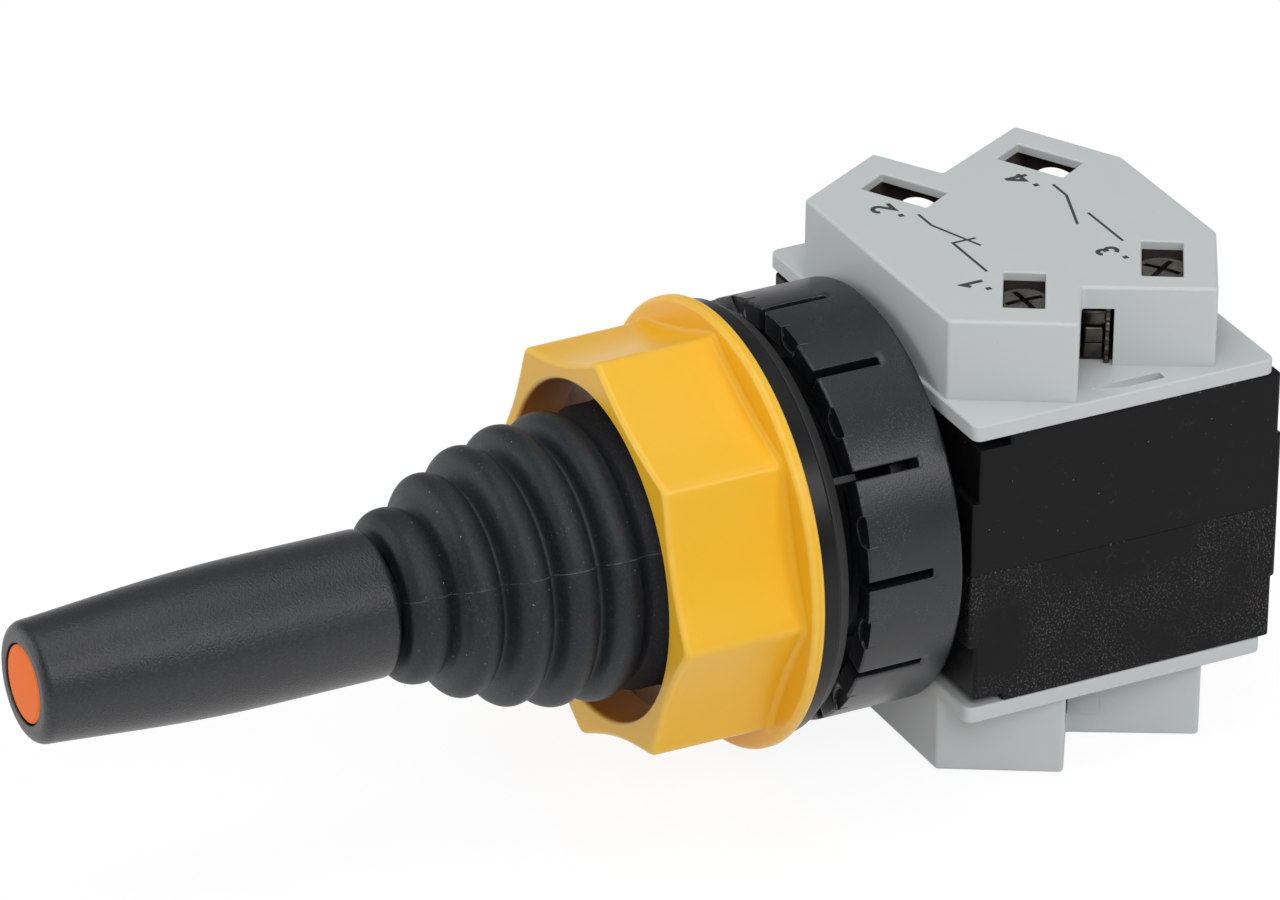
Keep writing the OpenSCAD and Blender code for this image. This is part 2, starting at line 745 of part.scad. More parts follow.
module block_cover() {
    room = [-wire_room, -3.4, base_t - cut];
    half_window = carrier_half_length + 0.3;
    window_reach = 10;
    window_front = wire_room + 1.85;
    window_w = 3.3;
    color("#c3c9c9") difference() {
        translate([0, 0, base_t]) linear_extrude(cover_height) cover_outline();
        span([-cavity_half, ball_depth - half_window, base_t - cut],
             [cavity_half, ball_depth + half_window, cavity_ceiling]);
        at_block_screws() translate([0, 0, base_t - cut])
            cylinder(d = block_head_d + 0.8, h = block_head_t + 0.4 + cut);
        at_terminals() {
            span(room, [wire_room, 4.2, terminal_ceiling]);
            wire_way(4);
            span([-driver_hole_length / 2, -driver_hole_w / 2, terminal_ceiling - cut],
                 [driver_hole_length / 2, driver_hole_w / 2, cover_top + cut]);
        }
        mirrored_x() {
            at_terminal(front_terminal_y)
                span([-window_reach, window_front, base_t - cut],
                     [-1, window_front + window_w, terminal_ceiling]);
            strips(front_terminal_y, front_contact_y, guide_clearance);
            strips(rear_terminal_y, rear_contact_y, guide_clearance);
        }
    }
}

module block_screws() {
    color("#a9adb0") at_block_screws() {
        translate([0, 0, base_t]) difference() {
            cylinder(d = block_head_d, h = block_head_t);
            translate([-0.4, -block_head_d, block_head_t - 0.9]) cube([0.8, 2 * block_head_d, 1]);
        }
        translate([0, 0, -roof_t - 2.8]) cylinder(d = block_screw_d, h = roof_t + 2.8 + base_t);
    }
}

// One fixed contact: the pad under a terminal screw, its strip, and the column that stands on
// the strip and holds the blade beside the bridge
module fixed_contact(y, contact_y, column_x, blade_low, blade_high) {
    difference() {
        union() {
            at_terminal(y) span([-3.4, -2.4, base_t], [3.4, 2.4, base_t + strip_t]);
            strips(y, contact_y, 0, column_x);
            span([column_x, contact_y - contact_w / 2, base_t],
                 [column_x + blade_t, contact_y + contact_w / 2, blade_high]);
            span([blade_x, contact_y - contact_w / 2, blade_low],
                 [column_x + blade_t, contact_y + contact_w / 2, blade_high]);
        }
        at_terminal(y) translate([0, 0, base_t - cut])
            cylinder(d = terminal_screw_d, h = strip_t + 2 * cut);
    }
}

module terminals() {
    color("#8f7a4b") mirrored_x() {
        fixed_contact(front_terminal_y, front_contact_y, blade_x, base_t, nc_top);
        fixed_contact(rear_terminal_y, rear_contact_y, blade_x + blade_t,
            no_bottom, cavity_ceiling - 0.3);
    }
}

module terminal_screws() {
    color("#7e8184") at_terminals() {
        translate([0, 0, head_z]) difference() {
            cylinder(d = terminal_head_d, h = head_t);
            for (a = [0, 90]) rotate([0, 0, a])
                translate([-2, -0.35, head_t - 0.9]) cube([4, 0.7, 1]);
        }
        translate([0, 0, 0.7]) cylinder(d = terminal_screw_d, h = head_z - 0.7);
    }
}

module clamp_plates() {
    lip = 0.8;
    color("#74777a") at_terminals() difference() {
        union() {
            span([-3.6, -2.6, head_z - clamp_t], [3.6, 2.6, head_z]);
            for (side = [-1, 1]) translate([side * 3.2, 0, 0])
                span([-0.4, -2.6, head_z - clamp_t - lip], [0.4, 2.6, head_z]);
        }
        translate([0, 0, head_z - clamp_t - cut]) cylinder(d = terminal_screw_d, h = clamp_t + 2 * cut);
    }
}

module bridge(contact_y) {
    color("#c08a52") span([-bridge_half, contact_y - contact_w / 2, bridge_z],
                          [bridge_half, contact_y + contact_w / 2, bridge_z + bridge_t]);
}

module plunger() {
    well_d = plunger_spring_d + 0.8;
    color("#7d3b34") difference() {
        union() {
            span([-carrier_w / 2, ball_depth - carrier_half_length, carrier_z],
                 [carrier_w / 2, ball_depth + carrier_half_length, carrier_z + carrier_t]);
            span([-stem_w / 2, ball_depth - stem_w / 2, carrier_z - stem_length],
                 [stem_w / 2, ball_depth + stem_w / 2, carrier_z + cut]);
        }
        for (y = [front_contact_y, rear_contact_y])
            span([-carrier_w, y - contact_w / 2, bridge_z], [carrier_w, y + contact_w / 2, bridge_z + bridge_t]);
        translate([0, ball_depth, carrier_z + 0.6]) cylinder(d = well_d, h = carrier_t);
    }
}

module plunger_spring() {
    seat = carrier_z + 0.6;
    color("#bfc3c6") translate([0, ball_depth, seat])
        coil(plunger_spring_d, 0.4, cavity_ceiling - seat, 4);
}

// Places a piece of the contact block on the chamber, above or below it
module upper() { translate([0, 0, half_height]) children(); }
module lower() { mirror([0, 0, 1]) translate([0, 0, half_height]) children(); }

handle_grip();
cap_insert();
grip_thread_insert();
lever_shaft();
shaft_locknut();
pivot_hub();
pivot_sleeve();
lever_tail();
pivot_pin();
bellows();
bellows_retaining_ring();
bezel_nut();
thrust_ring();
front_gasket();
threaded_neck();
slotted_collar();
chamber_upper();
chamber_lower();
chamber_screws();
actuating_slide();
centring_springs_upper();
centring_springs_lower();
upper() block_base();  // block_base_upper
upper() block_cover();  // block_cover_upper
upper() block_screws();  // block_screws_upper
upper() terminals();  // terminals_upper
upper() terminal_screws();  // terminal_screws_upper
upper() clamp_plates();  // clamp_plates_upper
upper() plunger();  // plunger_upper
upper() bridge(front_contact_y);  // nc_bridge_upper
upper() bridge(rear_contact_y);  // no_bridge_upper
upper() plunger_spring();  // plunger_spring_upper
lower() block_base();  // block_base_lower
lower() block_cover();  // block_cover_lower
lower() block_screws();  // block_screws_lower
lower() terminals();  // terminals_lower
lower() terminal_screws();  // terminal_screws_lower
lower() clamp_plates();  // clamp_plates_lower
lower() plunger();  // plunger_lower
lower() bridge(front_contact_y);  // nc_bridge_lower
lower() bridge(rear_contact_y);  // no_bridge_lower
lower() plunger_spring();  // plunger_spring_lower
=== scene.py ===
# %% [markdown]
# A joystick for a machine's control panel, dressed around its working frame.
#
# The frame holds every piece at its real size, the joints and the hidden mechanism.
# The cells below give the outside pieces their soft edges and their moulded surfaces, then every
# piece its finish, and then the floor, the lights and the camera. All sizes here are in
# millimetres, and the helper that makes a mesh turns them into metres.

import bmesh
import bpy
import numpy as np
from math import cos, pi, radians, sin
from mathutils import Matrix, Vector


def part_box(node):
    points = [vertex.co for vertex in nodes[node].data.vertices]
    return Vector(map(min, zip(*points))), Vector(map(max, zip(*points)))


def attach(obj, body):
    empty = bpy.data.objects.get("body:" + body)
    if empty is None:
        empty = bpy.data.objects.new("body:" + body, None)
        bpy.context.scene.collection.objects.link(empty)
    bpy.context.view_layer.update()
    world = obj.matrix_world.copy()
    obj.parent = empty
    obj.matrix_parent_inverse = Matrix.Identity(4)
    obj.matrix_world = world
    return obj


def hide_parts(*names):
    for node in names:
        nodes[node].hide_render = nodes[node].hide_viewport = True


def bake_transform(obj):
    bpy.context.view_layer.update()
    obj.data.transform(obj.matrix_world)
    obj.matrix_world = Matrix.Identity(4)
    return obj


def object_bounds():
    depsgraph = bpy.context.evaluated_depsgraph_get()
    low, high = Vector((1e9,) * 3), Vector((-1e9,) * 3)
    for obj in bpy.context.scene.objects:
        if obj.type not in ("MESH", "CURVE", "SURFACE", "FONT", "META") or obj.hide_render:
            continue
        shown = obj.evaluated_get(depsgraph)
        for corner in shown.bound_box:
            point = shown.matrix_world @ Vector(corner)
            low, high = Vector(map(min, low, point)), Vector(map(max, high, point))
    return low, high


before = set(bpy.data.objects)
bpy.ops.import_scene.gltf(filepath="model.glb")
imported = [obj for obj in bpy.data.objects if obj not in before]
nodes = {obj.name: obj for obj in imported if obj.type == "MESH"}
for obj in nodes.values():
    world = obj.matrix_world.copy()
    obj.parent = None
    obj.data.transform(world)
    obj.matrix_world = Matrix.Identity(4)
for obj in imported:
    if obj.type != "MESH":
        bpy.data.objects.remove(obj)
cad_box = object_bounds()
scene = bpy.context.scene


# %% Read places from the frame
def extent(node):
    """The lowest and the highest corner of a node's box, in millimetres."""
    low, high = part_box(node)
    return np.array([low, high]) * 1000


GRIP_TIP, SPIGOT_REAR = extent("handle_grip")[:, 1]
DISC_R, DISC_REAR = extent("cap_insert")[1, :2]
BELLOWS_FRONT, BELLOWS_REAR = extent("bellows")[:, 1]
NUT_FRONT, RING_FRONT = extent("bezel_nut")[:, 1]
RING_R, GASKET_FRONT = extent("thrust_ring")[1, :2]
COLLAR_R, COLLAR_REAR = extent("slotted_collar")[1, :2]
BAND_FRONT, BAND_REAR = extent("chamber_upper")[:, 1]
CHAMBER_X, _, CHAMBER_TOP = extent("chamber_upper")[1]
BASE_FRONT, BASE_REAR = extent("block_base_upper")[:, 1]
PLATE_TOP = extent("block_base_upper")[1, 2]
COVER_FRONT = extent("block_cover_upper")[0, 1]
BLOCK_TOP = extent("block_cover_upper")[1, 2]
SIDES = {"upper": 1, "lower": -1}
print(f"grip tip at {GRIP_TIP:.1f}, nut front at {NUT_FRONT:.1f}, block top at {BLOCK_TOP:.1f} mm")

# %% [markdown]
# Mesh helpers. Most pieces here are turned or moulded, so one recipe serves them all: a
# profile's corners are softened to true arcs, the profile is carried round the lever's axis or up
# a wall, and the whole grid of points goes into a mesh at once. Real plastic has no knife edges,
# and the small arcs are what catches the light.


# %% Soften a profile's corners
def soften(points, radii, steps=5):
    """Replaces each corner of a closed outline by an arc.

    The arc runs from a point before the corner to one after it. Both lie at the tangent length,
    radius times the tangent of half the turn, and the points between are the rational
    quadratic curve whose weight is the cosine of half the turn, which is a true arc.
    Leading axes of points are separate outlines, worked out together."""
    points = np.asarray(points, float)
    radii = np.broadcast_to(np.asarray(radii, float), points.shape[:-1])[..., None]
    before = np.roll(points, 1, -2) - points
    after = np.roll(points, -1, -2) - points
    long_a = np.linalg.norm(before, axis=-1, keepdims=True)
    long_b = np.linalg.norm(after, axis=-1, keepdims=True)
    before, after = before / long_a, after / long_b
    bend = np.arccos(np.clip(-(before * after).sum(-1, keepdims=True), -1, 1)) / 2
    reach = np.minimum(radii * np.tan(bend), 0.45 * np.minimum(long_a, long_b))
    t = np.linspace(0, 1, steps + 1)[:, None]
    w = 2 * np.cos(bend)[..., None, :] * t * (1 - t)
    first, last = (1 - t) ** 2, t ** 2
    corner = points[..., None, :]
    start = corner + (before * reach)[..., None, :]
    end = corner + (after * reach)[..., None, :]
    arc = (first * start + w * corner + last * end) / (first + w + last)
    arc = np.concatenate([start + 0.25 * (start - corner), arc, end + 0.25 * (end - corner)], -2)
    return arc.reshape(*points.shape[:-2], -1, 2)


# %% Put points and faces into a piece
def add_object(name, data):
    """A new object in the scene for a mesh, a lamp or a camera."""
    made = bpy.data.objects.new(name, data)
    scene.collection.objects.link(made)
    return made


def shade(mesh, sharp):
    """Smooth shading but for edges sharper than an angle in degrees."""
    mesh.shade_smooth()
    mesh.set_sharp_from_angle(angle=radians(sharp))


def corners_of(mesh):
    """The places of a mesh's vertices, in metres, one in each row."""
    flat = np.empty(len(mesh.vertices) * 3)
    mesh.vertices.foreach_get("co", flat)
    return flat.reshape(-1, 3)


def make_piece(name, points, faces, sharp=40):
    """One closed mesh from points in millimetres: doubles merged, faces turned outwards."""
    mesh = bpy.data.meshes.new(name)
    mesh.from_pydata((np.asarray(points) / 1000).tolist(), [], [list(face) for face in faces])
    shell = bmesh.new()
    shell.from_mesh(mesh)
    bmesh.ops.remove_doubles(shell, verts=shell.verts, dist=2e-6)
    bmesh.ops.dissolve_degenerate(shell, edges=shell.edges, dist=1e-6)
    bmesh.ops.recalc_face_normals(shell, faces=shell.faces)
    shell.to_mesh(mesh)
    shell.free()
    shade(mesh, sharp)
    return add_object(name, mesh)


def quads(rows, columns, close_rows=True, first=0):
    """The four corner numbers of every cell of a grid whose columns, and often rows, close."""
    index = np.arange(rows * columns).reshape(rows, columns) + first
    index = np.vstack([index, index[:1]]) if close_rows else index
    index = np.hstack([index, index[:, :1]])
    corners = [index[:-1, :-1], index[1:, :-1], index[1:, 1:], index[:-1, 1:]]
    return np.stack(corners, -1).reshape(-1, 4).tolist()


def tube_faces(rows, columns, first=0):
    """The faces of a tube of rows of points, with a flat cap on each end."""
    last = first + rows * columns
    return quads(rows, columns, close_rows=False, first=first) + [
        list(range(first, first + columns)), list(range(last - columns, last))]


def closed_piece(name, grid, sharp=40):
    """A grid of points that closes on itself both ways, as one piece."""
    return make_piece(name, grid.reshape(-1, 3), quads(*grid.shape[:2]), sharp)


def tube_piece(name, grid, sharp=40):
    """A grid of points that closes along its columns, with both ends capped, as one piece."""
    return make_piece(name, grid.reshape(-1, 3), tube_faces(*grid.shape[:2]), sharp)


def even_angles(count):
    """Angles round the lever's axis, in radians, with none repeated."""
    return np.arange(count) * 2 * pi / count


def quarter_circle(steps, radius):
    """How far each step of a rounded edge lies inside it: radius (1 - sin) and (1 - cos)."""
    a = np.linspace(0, pi / 2, steps + 1)
    return radius * (1 - np.sin(a)), radius * (1 - np.cos(a))


def circle(radius, count):
    """Points (radius cos a, radius sin a) at even angles a."""
    return radius * np.stack([np.cos(even_angles(count)), np.sin(even_angles(count))], -1)


def about_lever(points, turn):
    """Points turned about the lever's axis: x cos - z sin and x sin + z cos."""
    x, y, z = np.moveaxis(points, -1, 0)
    return np.stack([x * cos(turn) - z * sin(turn), y, x * sin(turn) + z * cos(turn)], -1)


def carry_round(radius, place, angles):
    """A point at (radius, place) goes to (radius cos a, place, radius sin a) for each angle a.

    radius and place have a row for each point of the profile and a column for each angle."""
    x, y, z = np.broadcast_arrays(radius * np.cos(angles), place, radius * np.sin(angles))
    return np.stack([x, y, z], -1)


def turned_piece(name, profile, count=192):
    """A closed profile of (radius, place) pairs, carried round the lever's axis."""
    return closed_piece(name, carry_round(profile[:, :1], profile[:, 1:], even_angles(count)))


def cut_away(piece, cutters):
    """Takes the cutters out of the piece, one exact Boolean after another, and deletes them."""
    for cutter in cutters:
        step = piece.modifiers.new("cut", "BOOLEAN")
        step.operation, step.solver, step.object = "DIFFERENCE", "EXACT", cutter
    graph = bpy.context.evaluated_depsgraph_get()
    cut_mesh = bpy.data.meshes.new_from_object(piece.evaluated_get(graph))
    piece.modifiers.clear()
    piece.data = cut_mesh
    for cutter in cutters:
        bpy.data.objects.remove(cutter)
    cut_mesh.set_sharp_from_angle(angle=radians(30))
    weighted = piece.modifiers.new("flat faces stay flat", "WEIGHTED_NORMAL")
    weighted.keep_sharp = True
    return piece


print("mesh helpers ready")

# %% [markdown]
# The grip is one moulding: a slim handle that swells towards the hand's heel and
# necks down to a spigot for the bellows. Its side is a quarter sine raised to a power, so it is
# steep at the tip and straight at the rear. The orange disc sits in a pocket in its tip, with a
# fine dark groove left round it.


# %% The grip and its disc
TIP_ROUND, HEEL_ROUND = 1.3, 0.9


def grip_side(tip_r, rear_r, front, rear, count=40):
    """Radius along the grip: tip radius plus the swell times sin(quarter turn) to the power 1.2."""
    place = np.linspace(front + TIP_ROUND, rear - HEEL_ROUND, count)
    t = (place - front) / (rear - front)
    swell = np.sin(np.minimum(1, t / 0.66) * pi / 2) ** 1.2
    return np.stack([tip_r + (rear_r - tip_r) * swell, place], -1)


def make_grip():
    tip_r, rear_r, spigot_r = 6.3, 7.75, 5.0
    rear = SPIGOT_REAR - 3.7
    side = grip_side(tip_r, rear_r, GRIP_TIP, rear)
    gap, rise = quarter_circle(8, TIP_ROUND)
    tip_round = np.stack([side[0, 0] - gap, GRIP_TIP + rise], -1)
    gap, rise = quarter_circle(8, HEEL_ROUND)
    rear_round = np.stack([side[-1, 0] - rise, rear - gap], -1)
    pocket_r = DISC_R + 0.16
    pocket = soften([[0, DISC_REAR], [pocket_r, DISC_REAR], [pocket_r, GRIP_TIP],
                     [side[0, 0] - TIP_ROUND, GRIP_TIP]], [0, 0, 0.12, 0], 3)[6:18]
    spigot = np.array([[spigot_r, rear], [spigot_r, SPIGOT_REAR], [0, SPIGOT_REAR]])
    profile = np.vstack([[[0, DISC_REAR]], pocket, tip_round, side[1:-1], rear_round, spigot])
    return turned_piece("grip_moulding", profile)


def make_disc():
    """The disc's face is a shallow bowl turned outwards, a tenth of a millimetre high."""
    r = np.linspace(0, 0.93, 12) * DISC_R
    face = np.stack([r, GRIP_TIP + 0.02 + 0.1 * (r / DISC_R) ** 2], -1)
    edge = soften([[0, GRIP_TIP + 0.1], [DISC_R, GRIP_TIP + 0.12], [DISC_R, DISC_REAR],
                   [0, DISC_REAR]], [0, 0.22, 0.1, 0], 4)[7:-7]
    return turned_piece("tip_disc", np.vstack([face, edge, [[0, DISC_REAR]]]), 96)


grip = make_grip()
disc = make_disc()
print("grip:", len(grip.data.vertices), "points; disc:", len(disc.data.vertices))

# %% [markdown]
# The bellows is one rubber moulding whose folds grow towards the nut. Each fold is a full,
# blunt arch standing on the line between its two valleys, so the crowns are round and the valleys
# deep. A thin rib follows the first fold, and the mould has left a fine line along the right-hand
# side.


# %% The bellows
FOLD_R = np.array([9.2, 11.75, 13.65, 14.8, 15.2])
VALLEY_DEPTH = 3.7
RUBBER = 1.2
SKIRT_R = 15.0
MOULD_LINE = radians(24)


def fold_profile(first, last, sides=22):
    """Radius along the folds: floor + (crown - floor) times the square root of 1 - |s| ** 2.4.

    s runs from -1 to 1 across each fold, and the floor is the straight line between the valleys
    on either side. A short moving average then rounds the sharp foot of each valley."""
    pitch = (last - first) / (len(FOLD_R) - 1)
    valley = (FOLD_R[:-1] + FOLD_R[1:]) / 2 - VALLEY_DEPTH
    valley = np.concatenate([[7.4], valley, [FOLD_R[-1] - 0.6 * VALLEY_DEPTH]])
    s = np.linspace(-1, 1, sides, endpoint=False)
    floor = valley[:-1, None] + (valley[1:] - valley[:-1])[:, None] * (s + 1) / 2
    radius = floor + (FOLD_R[:, None] - floor) * np.sqrt(1 - np.abs(s) ** 2.4)
    place = first + pitch * (np.arange(len(FOLD_R))[:, None] + s / 2)
    radius, place = radius.ravel(), place.ravel()
    rounded = np.convolve(np.pad(radius, 2, "edge"), np.ones(5) / 5, "valid")
    rib = 0.7 * np.exp(-((place - first - 0.53 * pitch) / 0.3) ** 2)
    return np.stack([np.minimum(rounded + rib, 16), place], -1)


def make_bellows():
    folds = fold_profile(BELLOWS_FRONT + 2.4, NUT_FRONT - 2.5)
    skirt_start = folds[-1, 1] + 0.9
    clip_rear = BELLOWS_REAR - 1.8
    outer = np.vstack([[[6.9, BELLOWS_FRONT + 0.05], [7.15, BELLOWS_FRONT + 0.12]], folds,
                       [[13.9, skirt_start], [SKIRT_R, skirt_start + 1.2],
                        [SKIRT_R, clip_rear], [17.9, clip_rear]]])
    inner = outer[:-1][::-1] - [RUBBER, 0]
    inner[:, 0] = np.maximum(inner[:, 0], 5.3)
    profile = np.vstack([outer, [[17.9, BELLOWS_REAR], [SKIRT_R - RUBBER, BELLOWS_REAR]], inner])
    fine = MOULD_LINE + radians(0.35) * np.linspace(-1, 1, 7)
    coarse = even_angles(168)
    coarse = coarse[np.abs(coarse - MOULD_LINE) > radians(1)]
    angles = np.sort(np.concatenate([coarse, fine]))
    line = 0.1 * np.exp(-((angles - MOULD_LINE) / radians(0.2)) ** 2)
    outside = (np.arange(len(profile)) < len(outer) - 4)[:, None]
    wander = 0.03 * np.sin(3 * angles + 0.8 * profile[:, 1:]) * outside
    grid = carry_round(profile[:, :1] + line * outside + wander, profile[:, 1:], angles)
    return closed_piece("rubber_bellows", grid, 70)


bellows = make_bellows()
print("bellows:", len(bellows.data.vertices), "points, folds at", np.round(FOLD_R, 1))

# %% [markdown]
# The nut is an octagon with hollow flats that melts into a round flange. Its radius in each
# direction is the distance to the octagon's side less the flat's hollow, so one closed profile
# per angle gives the front face, the side, the fillet, the flange and the bore. The corners
# are drawn together by a smooth minimum over the eight sides, which rounds them slightly.


# %% The octagonal nut
OCTAGON_R = 22.4
NUT_TURN = radians(-3.3)
BORE_R = 18.0
THREAD_R = 15.1
FLANGE_R = 24.0


def octagon_radius(angles, corner_r, hollow, softness=90.0):
    """Distance to the nearest of eight sides, less a hollow that peaks in the middle of each.

    A side's distance along direction a is apothem / cos(a - side), and the smooth minimum
    is the power mean of all of them with a large negative power."""
    middle = NUT_TURN + (np.arange(8)[:, None] + 0.5) * pi / 4
    facing = np.cos(angles[None, :] - middle)
    away = np.where(facing > 0.3, corner_r * cos(pi / 8) / np.maximum(facing, 0.3), 1e3)
    side = ((away / corner_r) ** -softness).sum(0) ** (-1 / softness) * corner_r
    t = ((angles - NUT_TURN) % (pi / 4)) / (pi / 4)
    return side - hollow * 4 * t * (1 - t)


def make_nut():
    angles = even_angles(384)
    front = octagon_radius(angles, OCTAGON_R, 0.85)
    base = octagon_radius(angles, OCTAGON_R + 0.1, 0.45)
    flange_front, neck_front = RING_FRONT - 1.5, NUT_FRONT + 8.4
    pairs = [(BORE_R, NUT_FRONT), (front, NUT_FRONT), (base, flange_front),
             (FLANGE_R, flange_front + 0.05), (FLANGE_R, RING_FRONT), (THREAD_R, RING_FRONT),
             (THREAD_R, neck_front), (BORE_R, neck_front)]
    corners = np.stack([np.stack(np.broadcast_arrays(r, y, angles)[:2], -1) for r, y in pairs], 1)
    profile = soften(corners, [0.5, 0.55, 0.7, 0.55, 0.45, 0.1, 0.1, 0.1], 6)
    grid = carry_round(profile[..., 0].T, profile[..., 1].T, angles)
    return closed_piece("octagon_nut", grid, 70)


nut = make_nut()
print("nut:", len(nut.data.vertices), "points")

# %% [markdown]
# Behind the nut lie a smooth hard ring and a rubber gasket that narrows towards the panel. The
# gasket's thin lug bridges the gap for the panel and drops into one of the collar's slots,
# which keeps the head from turning.


# %% The ring, the gasket and its lug
RING_BORE = 15.3
SLOT_TURN = radians(4.4)
SLOTS = 12
SECTOR = 2 * pi / SLOTS
GASKET_REAR = -2.1


def make_ring():
    profile = soften([[RING_BORE, RING_FRONT], [RING_R, RING_FRONT], [RING_R, GASKET_FRONT],
                      [RING_BORE, GASKET_FRONT]], [0.1, 0.35, 0.25, 0.1])
    return turned_piece("smooth_ring", profile)


def make_gasket():
    r = 22.8
    profile = soften([[RING_BORE, GASKET_FRONT], [r, GASKET_FRONT], [r - 0.15, GASKET_FRONT + 0.55],
                      [r - 0.4, GASKET_FRONT + 0.62], [r - 0.8, GASKET_REAR],
                      [RING_BORE, GASKET_REAR]], [0.1, 0.2, 0.12, 0.1, 0.2, 0.1])
    return turned_piece("rubber_gasket", profile)


def bar_between(name, low, high, turn, rounding=0.12):
    """A box whose twelve edges are rounded, turned about the lever's axis.

    Rows are inset outlines from one end to the other, and the inset follows a quarter
    circle at each end, so the ends are rounded too."""
    low, high = np.array(low, float), np.array(high, float)
    gaps, rise = quarter_circle(3, rounding)
    depth = np.concatenate([low[1] + rise, high[1] - rise[::-1]])
    centre, half = (low + high) / 2, (high - low) / 2
    rows = []
    for gap, y in zip(np.concatenate([gaps, gaps[::-1]]), depth):
        w, h = half[0] - gap, half[2] - gap
        outline = soften([[-w, -h], [w, -h], [w, h], [-w, h]], max(rounding - gap, 0.01), 3)
        x, z = (outline + centre[[0, 2]]).T
        rows.append(np.stack([x, np.full_like(x, y), z], -1))
    return tube_piece(name, about_lever(np.stack(rows), turn))


ring = make_ring()
gasket = make_gasket()
lug = bar_between("gasket_lug", [20.2, GASKET_REAR - 0.4, -0.38], [21.9, 0.45, 0.38],
                  SLOT_TURN + SECTOR)
print("ring, gasket and lug:", [len(p.data.vertices) for p in (ring, gasket, lug)])

# %% [markdown]
# The collar is cut through by twelve slots, so it isn't a plain turned shape. It is made from
# a lattice of cells in angle, radius and depth whose lines lie on the slots' edges. Cells in a
# slot are left empty, and a face is made wherever a full cell meets an empty one. Every edge
# then has clean quads beside it, which a Bevel modifier can round.


# %% The slotted collar
def lattice_piece(name, points, full, bevel):
    """The skin of the full cells of a lattice that closes on itself along its first axis.

    points has the corners and full says which cells are solid. A face lies where a cell
    differs from the one before it along an axis."""
    a, r, y = full.shape
    number = np.arange(a * (r + 1) * (y + 1)).reshape(a, r + 1, y + 1)
    number = np.concatenate([number, number[:1]])
    walls = [(full != np.roll(full, 1, 0), (0, 1, 0), (0, 0, 1)),
             (np.diff(full.astype(int), axis=1, prepend=0, append=0), (1, 0, 0), (0, 0, 1)),
             (np.diff(full.astype(int), axis=2, prepend=0, append=0), (1, 0, 0), (0, 1, 0))]
    faces = []
    for wall, one, two in walls:
        i, j, k = np.nonzero(wall)
        steps = [np.zeros(3, int), np.array(one), np.add(one, two), np.array(two)]
        faces.append(np.stack([number[i + a, j + b, k + c] for a, b, c in steps], -1))
    faces = np.concatenate(faces)
    used, faces = np.unique(faces, return_inverse=True)
    piece = make_piece(name, points.reshape(-1, 3)[used], faces.reshape(-1, 4).tolist(), 40)
    rounding = piece.modifiers.new("soft edges", "BEVEL")
    rounding.width = bevel / 1000
    rounding.segments = 2
    rounding.angle_limit = radians(40)
    rounding.harden_normals = True
    return piece


MARK_DEPTH = 0.3
MARK_R = 1.7


def round_the_rim(name, tube):
    """A tube of points repeated in the middle of every sector between two slots, as one piece."""
    turns = SLOT_TURN + (np.arange(SLOTS) + 0.5) * SECTOR
    points = [about_lever(tube, turn).reshape(-1, 3) for turn in turns]
    faces = sum((tube_faces(*tube.shape[:2], k * len(points[0])) for k in range(SLOTS)), [])
    return make_piece(name, np.vstack(points), faces)


def make_collar():
    slot_half, slot_rear = 0.5 / COLLAR_R, 7.4
    bore_r, wall_r = 12.9, COLLAR_R - 2.45
    floor_y, step_y = 8.3, COLLAR_REAR - 1.0
    land = np.linspace(slot_half, SECTOR - slot_half, 19)
    sector = np.concatenate([[-slot_half, -slot_half / 3, slot_half / 3], land[:-1]])
    angles = (SLOT_TURN + np.arange(SLOTS)[:, None] * SECTOR + sector).ravel()
    in_slot = np.tile(np.arange(len(sector)) < 3, SLOTS)[:, None, None]
    radii = np.array([bore_r, RING_BORE, wall_r, COLLAR_R - 0.35, COLLAR_R])
    places = np.array([0, 0.4, 2.4, 4.9, slot_rear - 0.3, slot_rear, floor_y,
                       step_y - 0.35, step_y, COLLAR_REAR])
    cell_r, cell_y = radii[:-1][None, :, None], places[:-1][None, None, :]
    rim, floor = cell_r >= wall_r - 0.01, cell_y >= floor_y
    full = (rim | floor) & (cell_y < step_y - 0.01)
    full = full | ((cell_r < RING_BORE - 0.1) & floor)
    full = full & ~(in_slot & rim & (cell_y < slot_rear - 0.01))
    a, r, y = np.meshgrid(angles, radii, places, indexing="ij")
    ring = lattice_piece("collar_moulding", np.stack([r * np.cos(a), y, r * np.sin(a)], -1),
                         full, 0.14)
    z, x = circle(MARK_R, 32).T
    mark = np.stack([np.stack([x + COLLAR_R, np.full(32, y), z], -1) for y in (-1, MARK_DEPTH)])
    return cut_away(ring, [round_the_rim("marks", mark)])


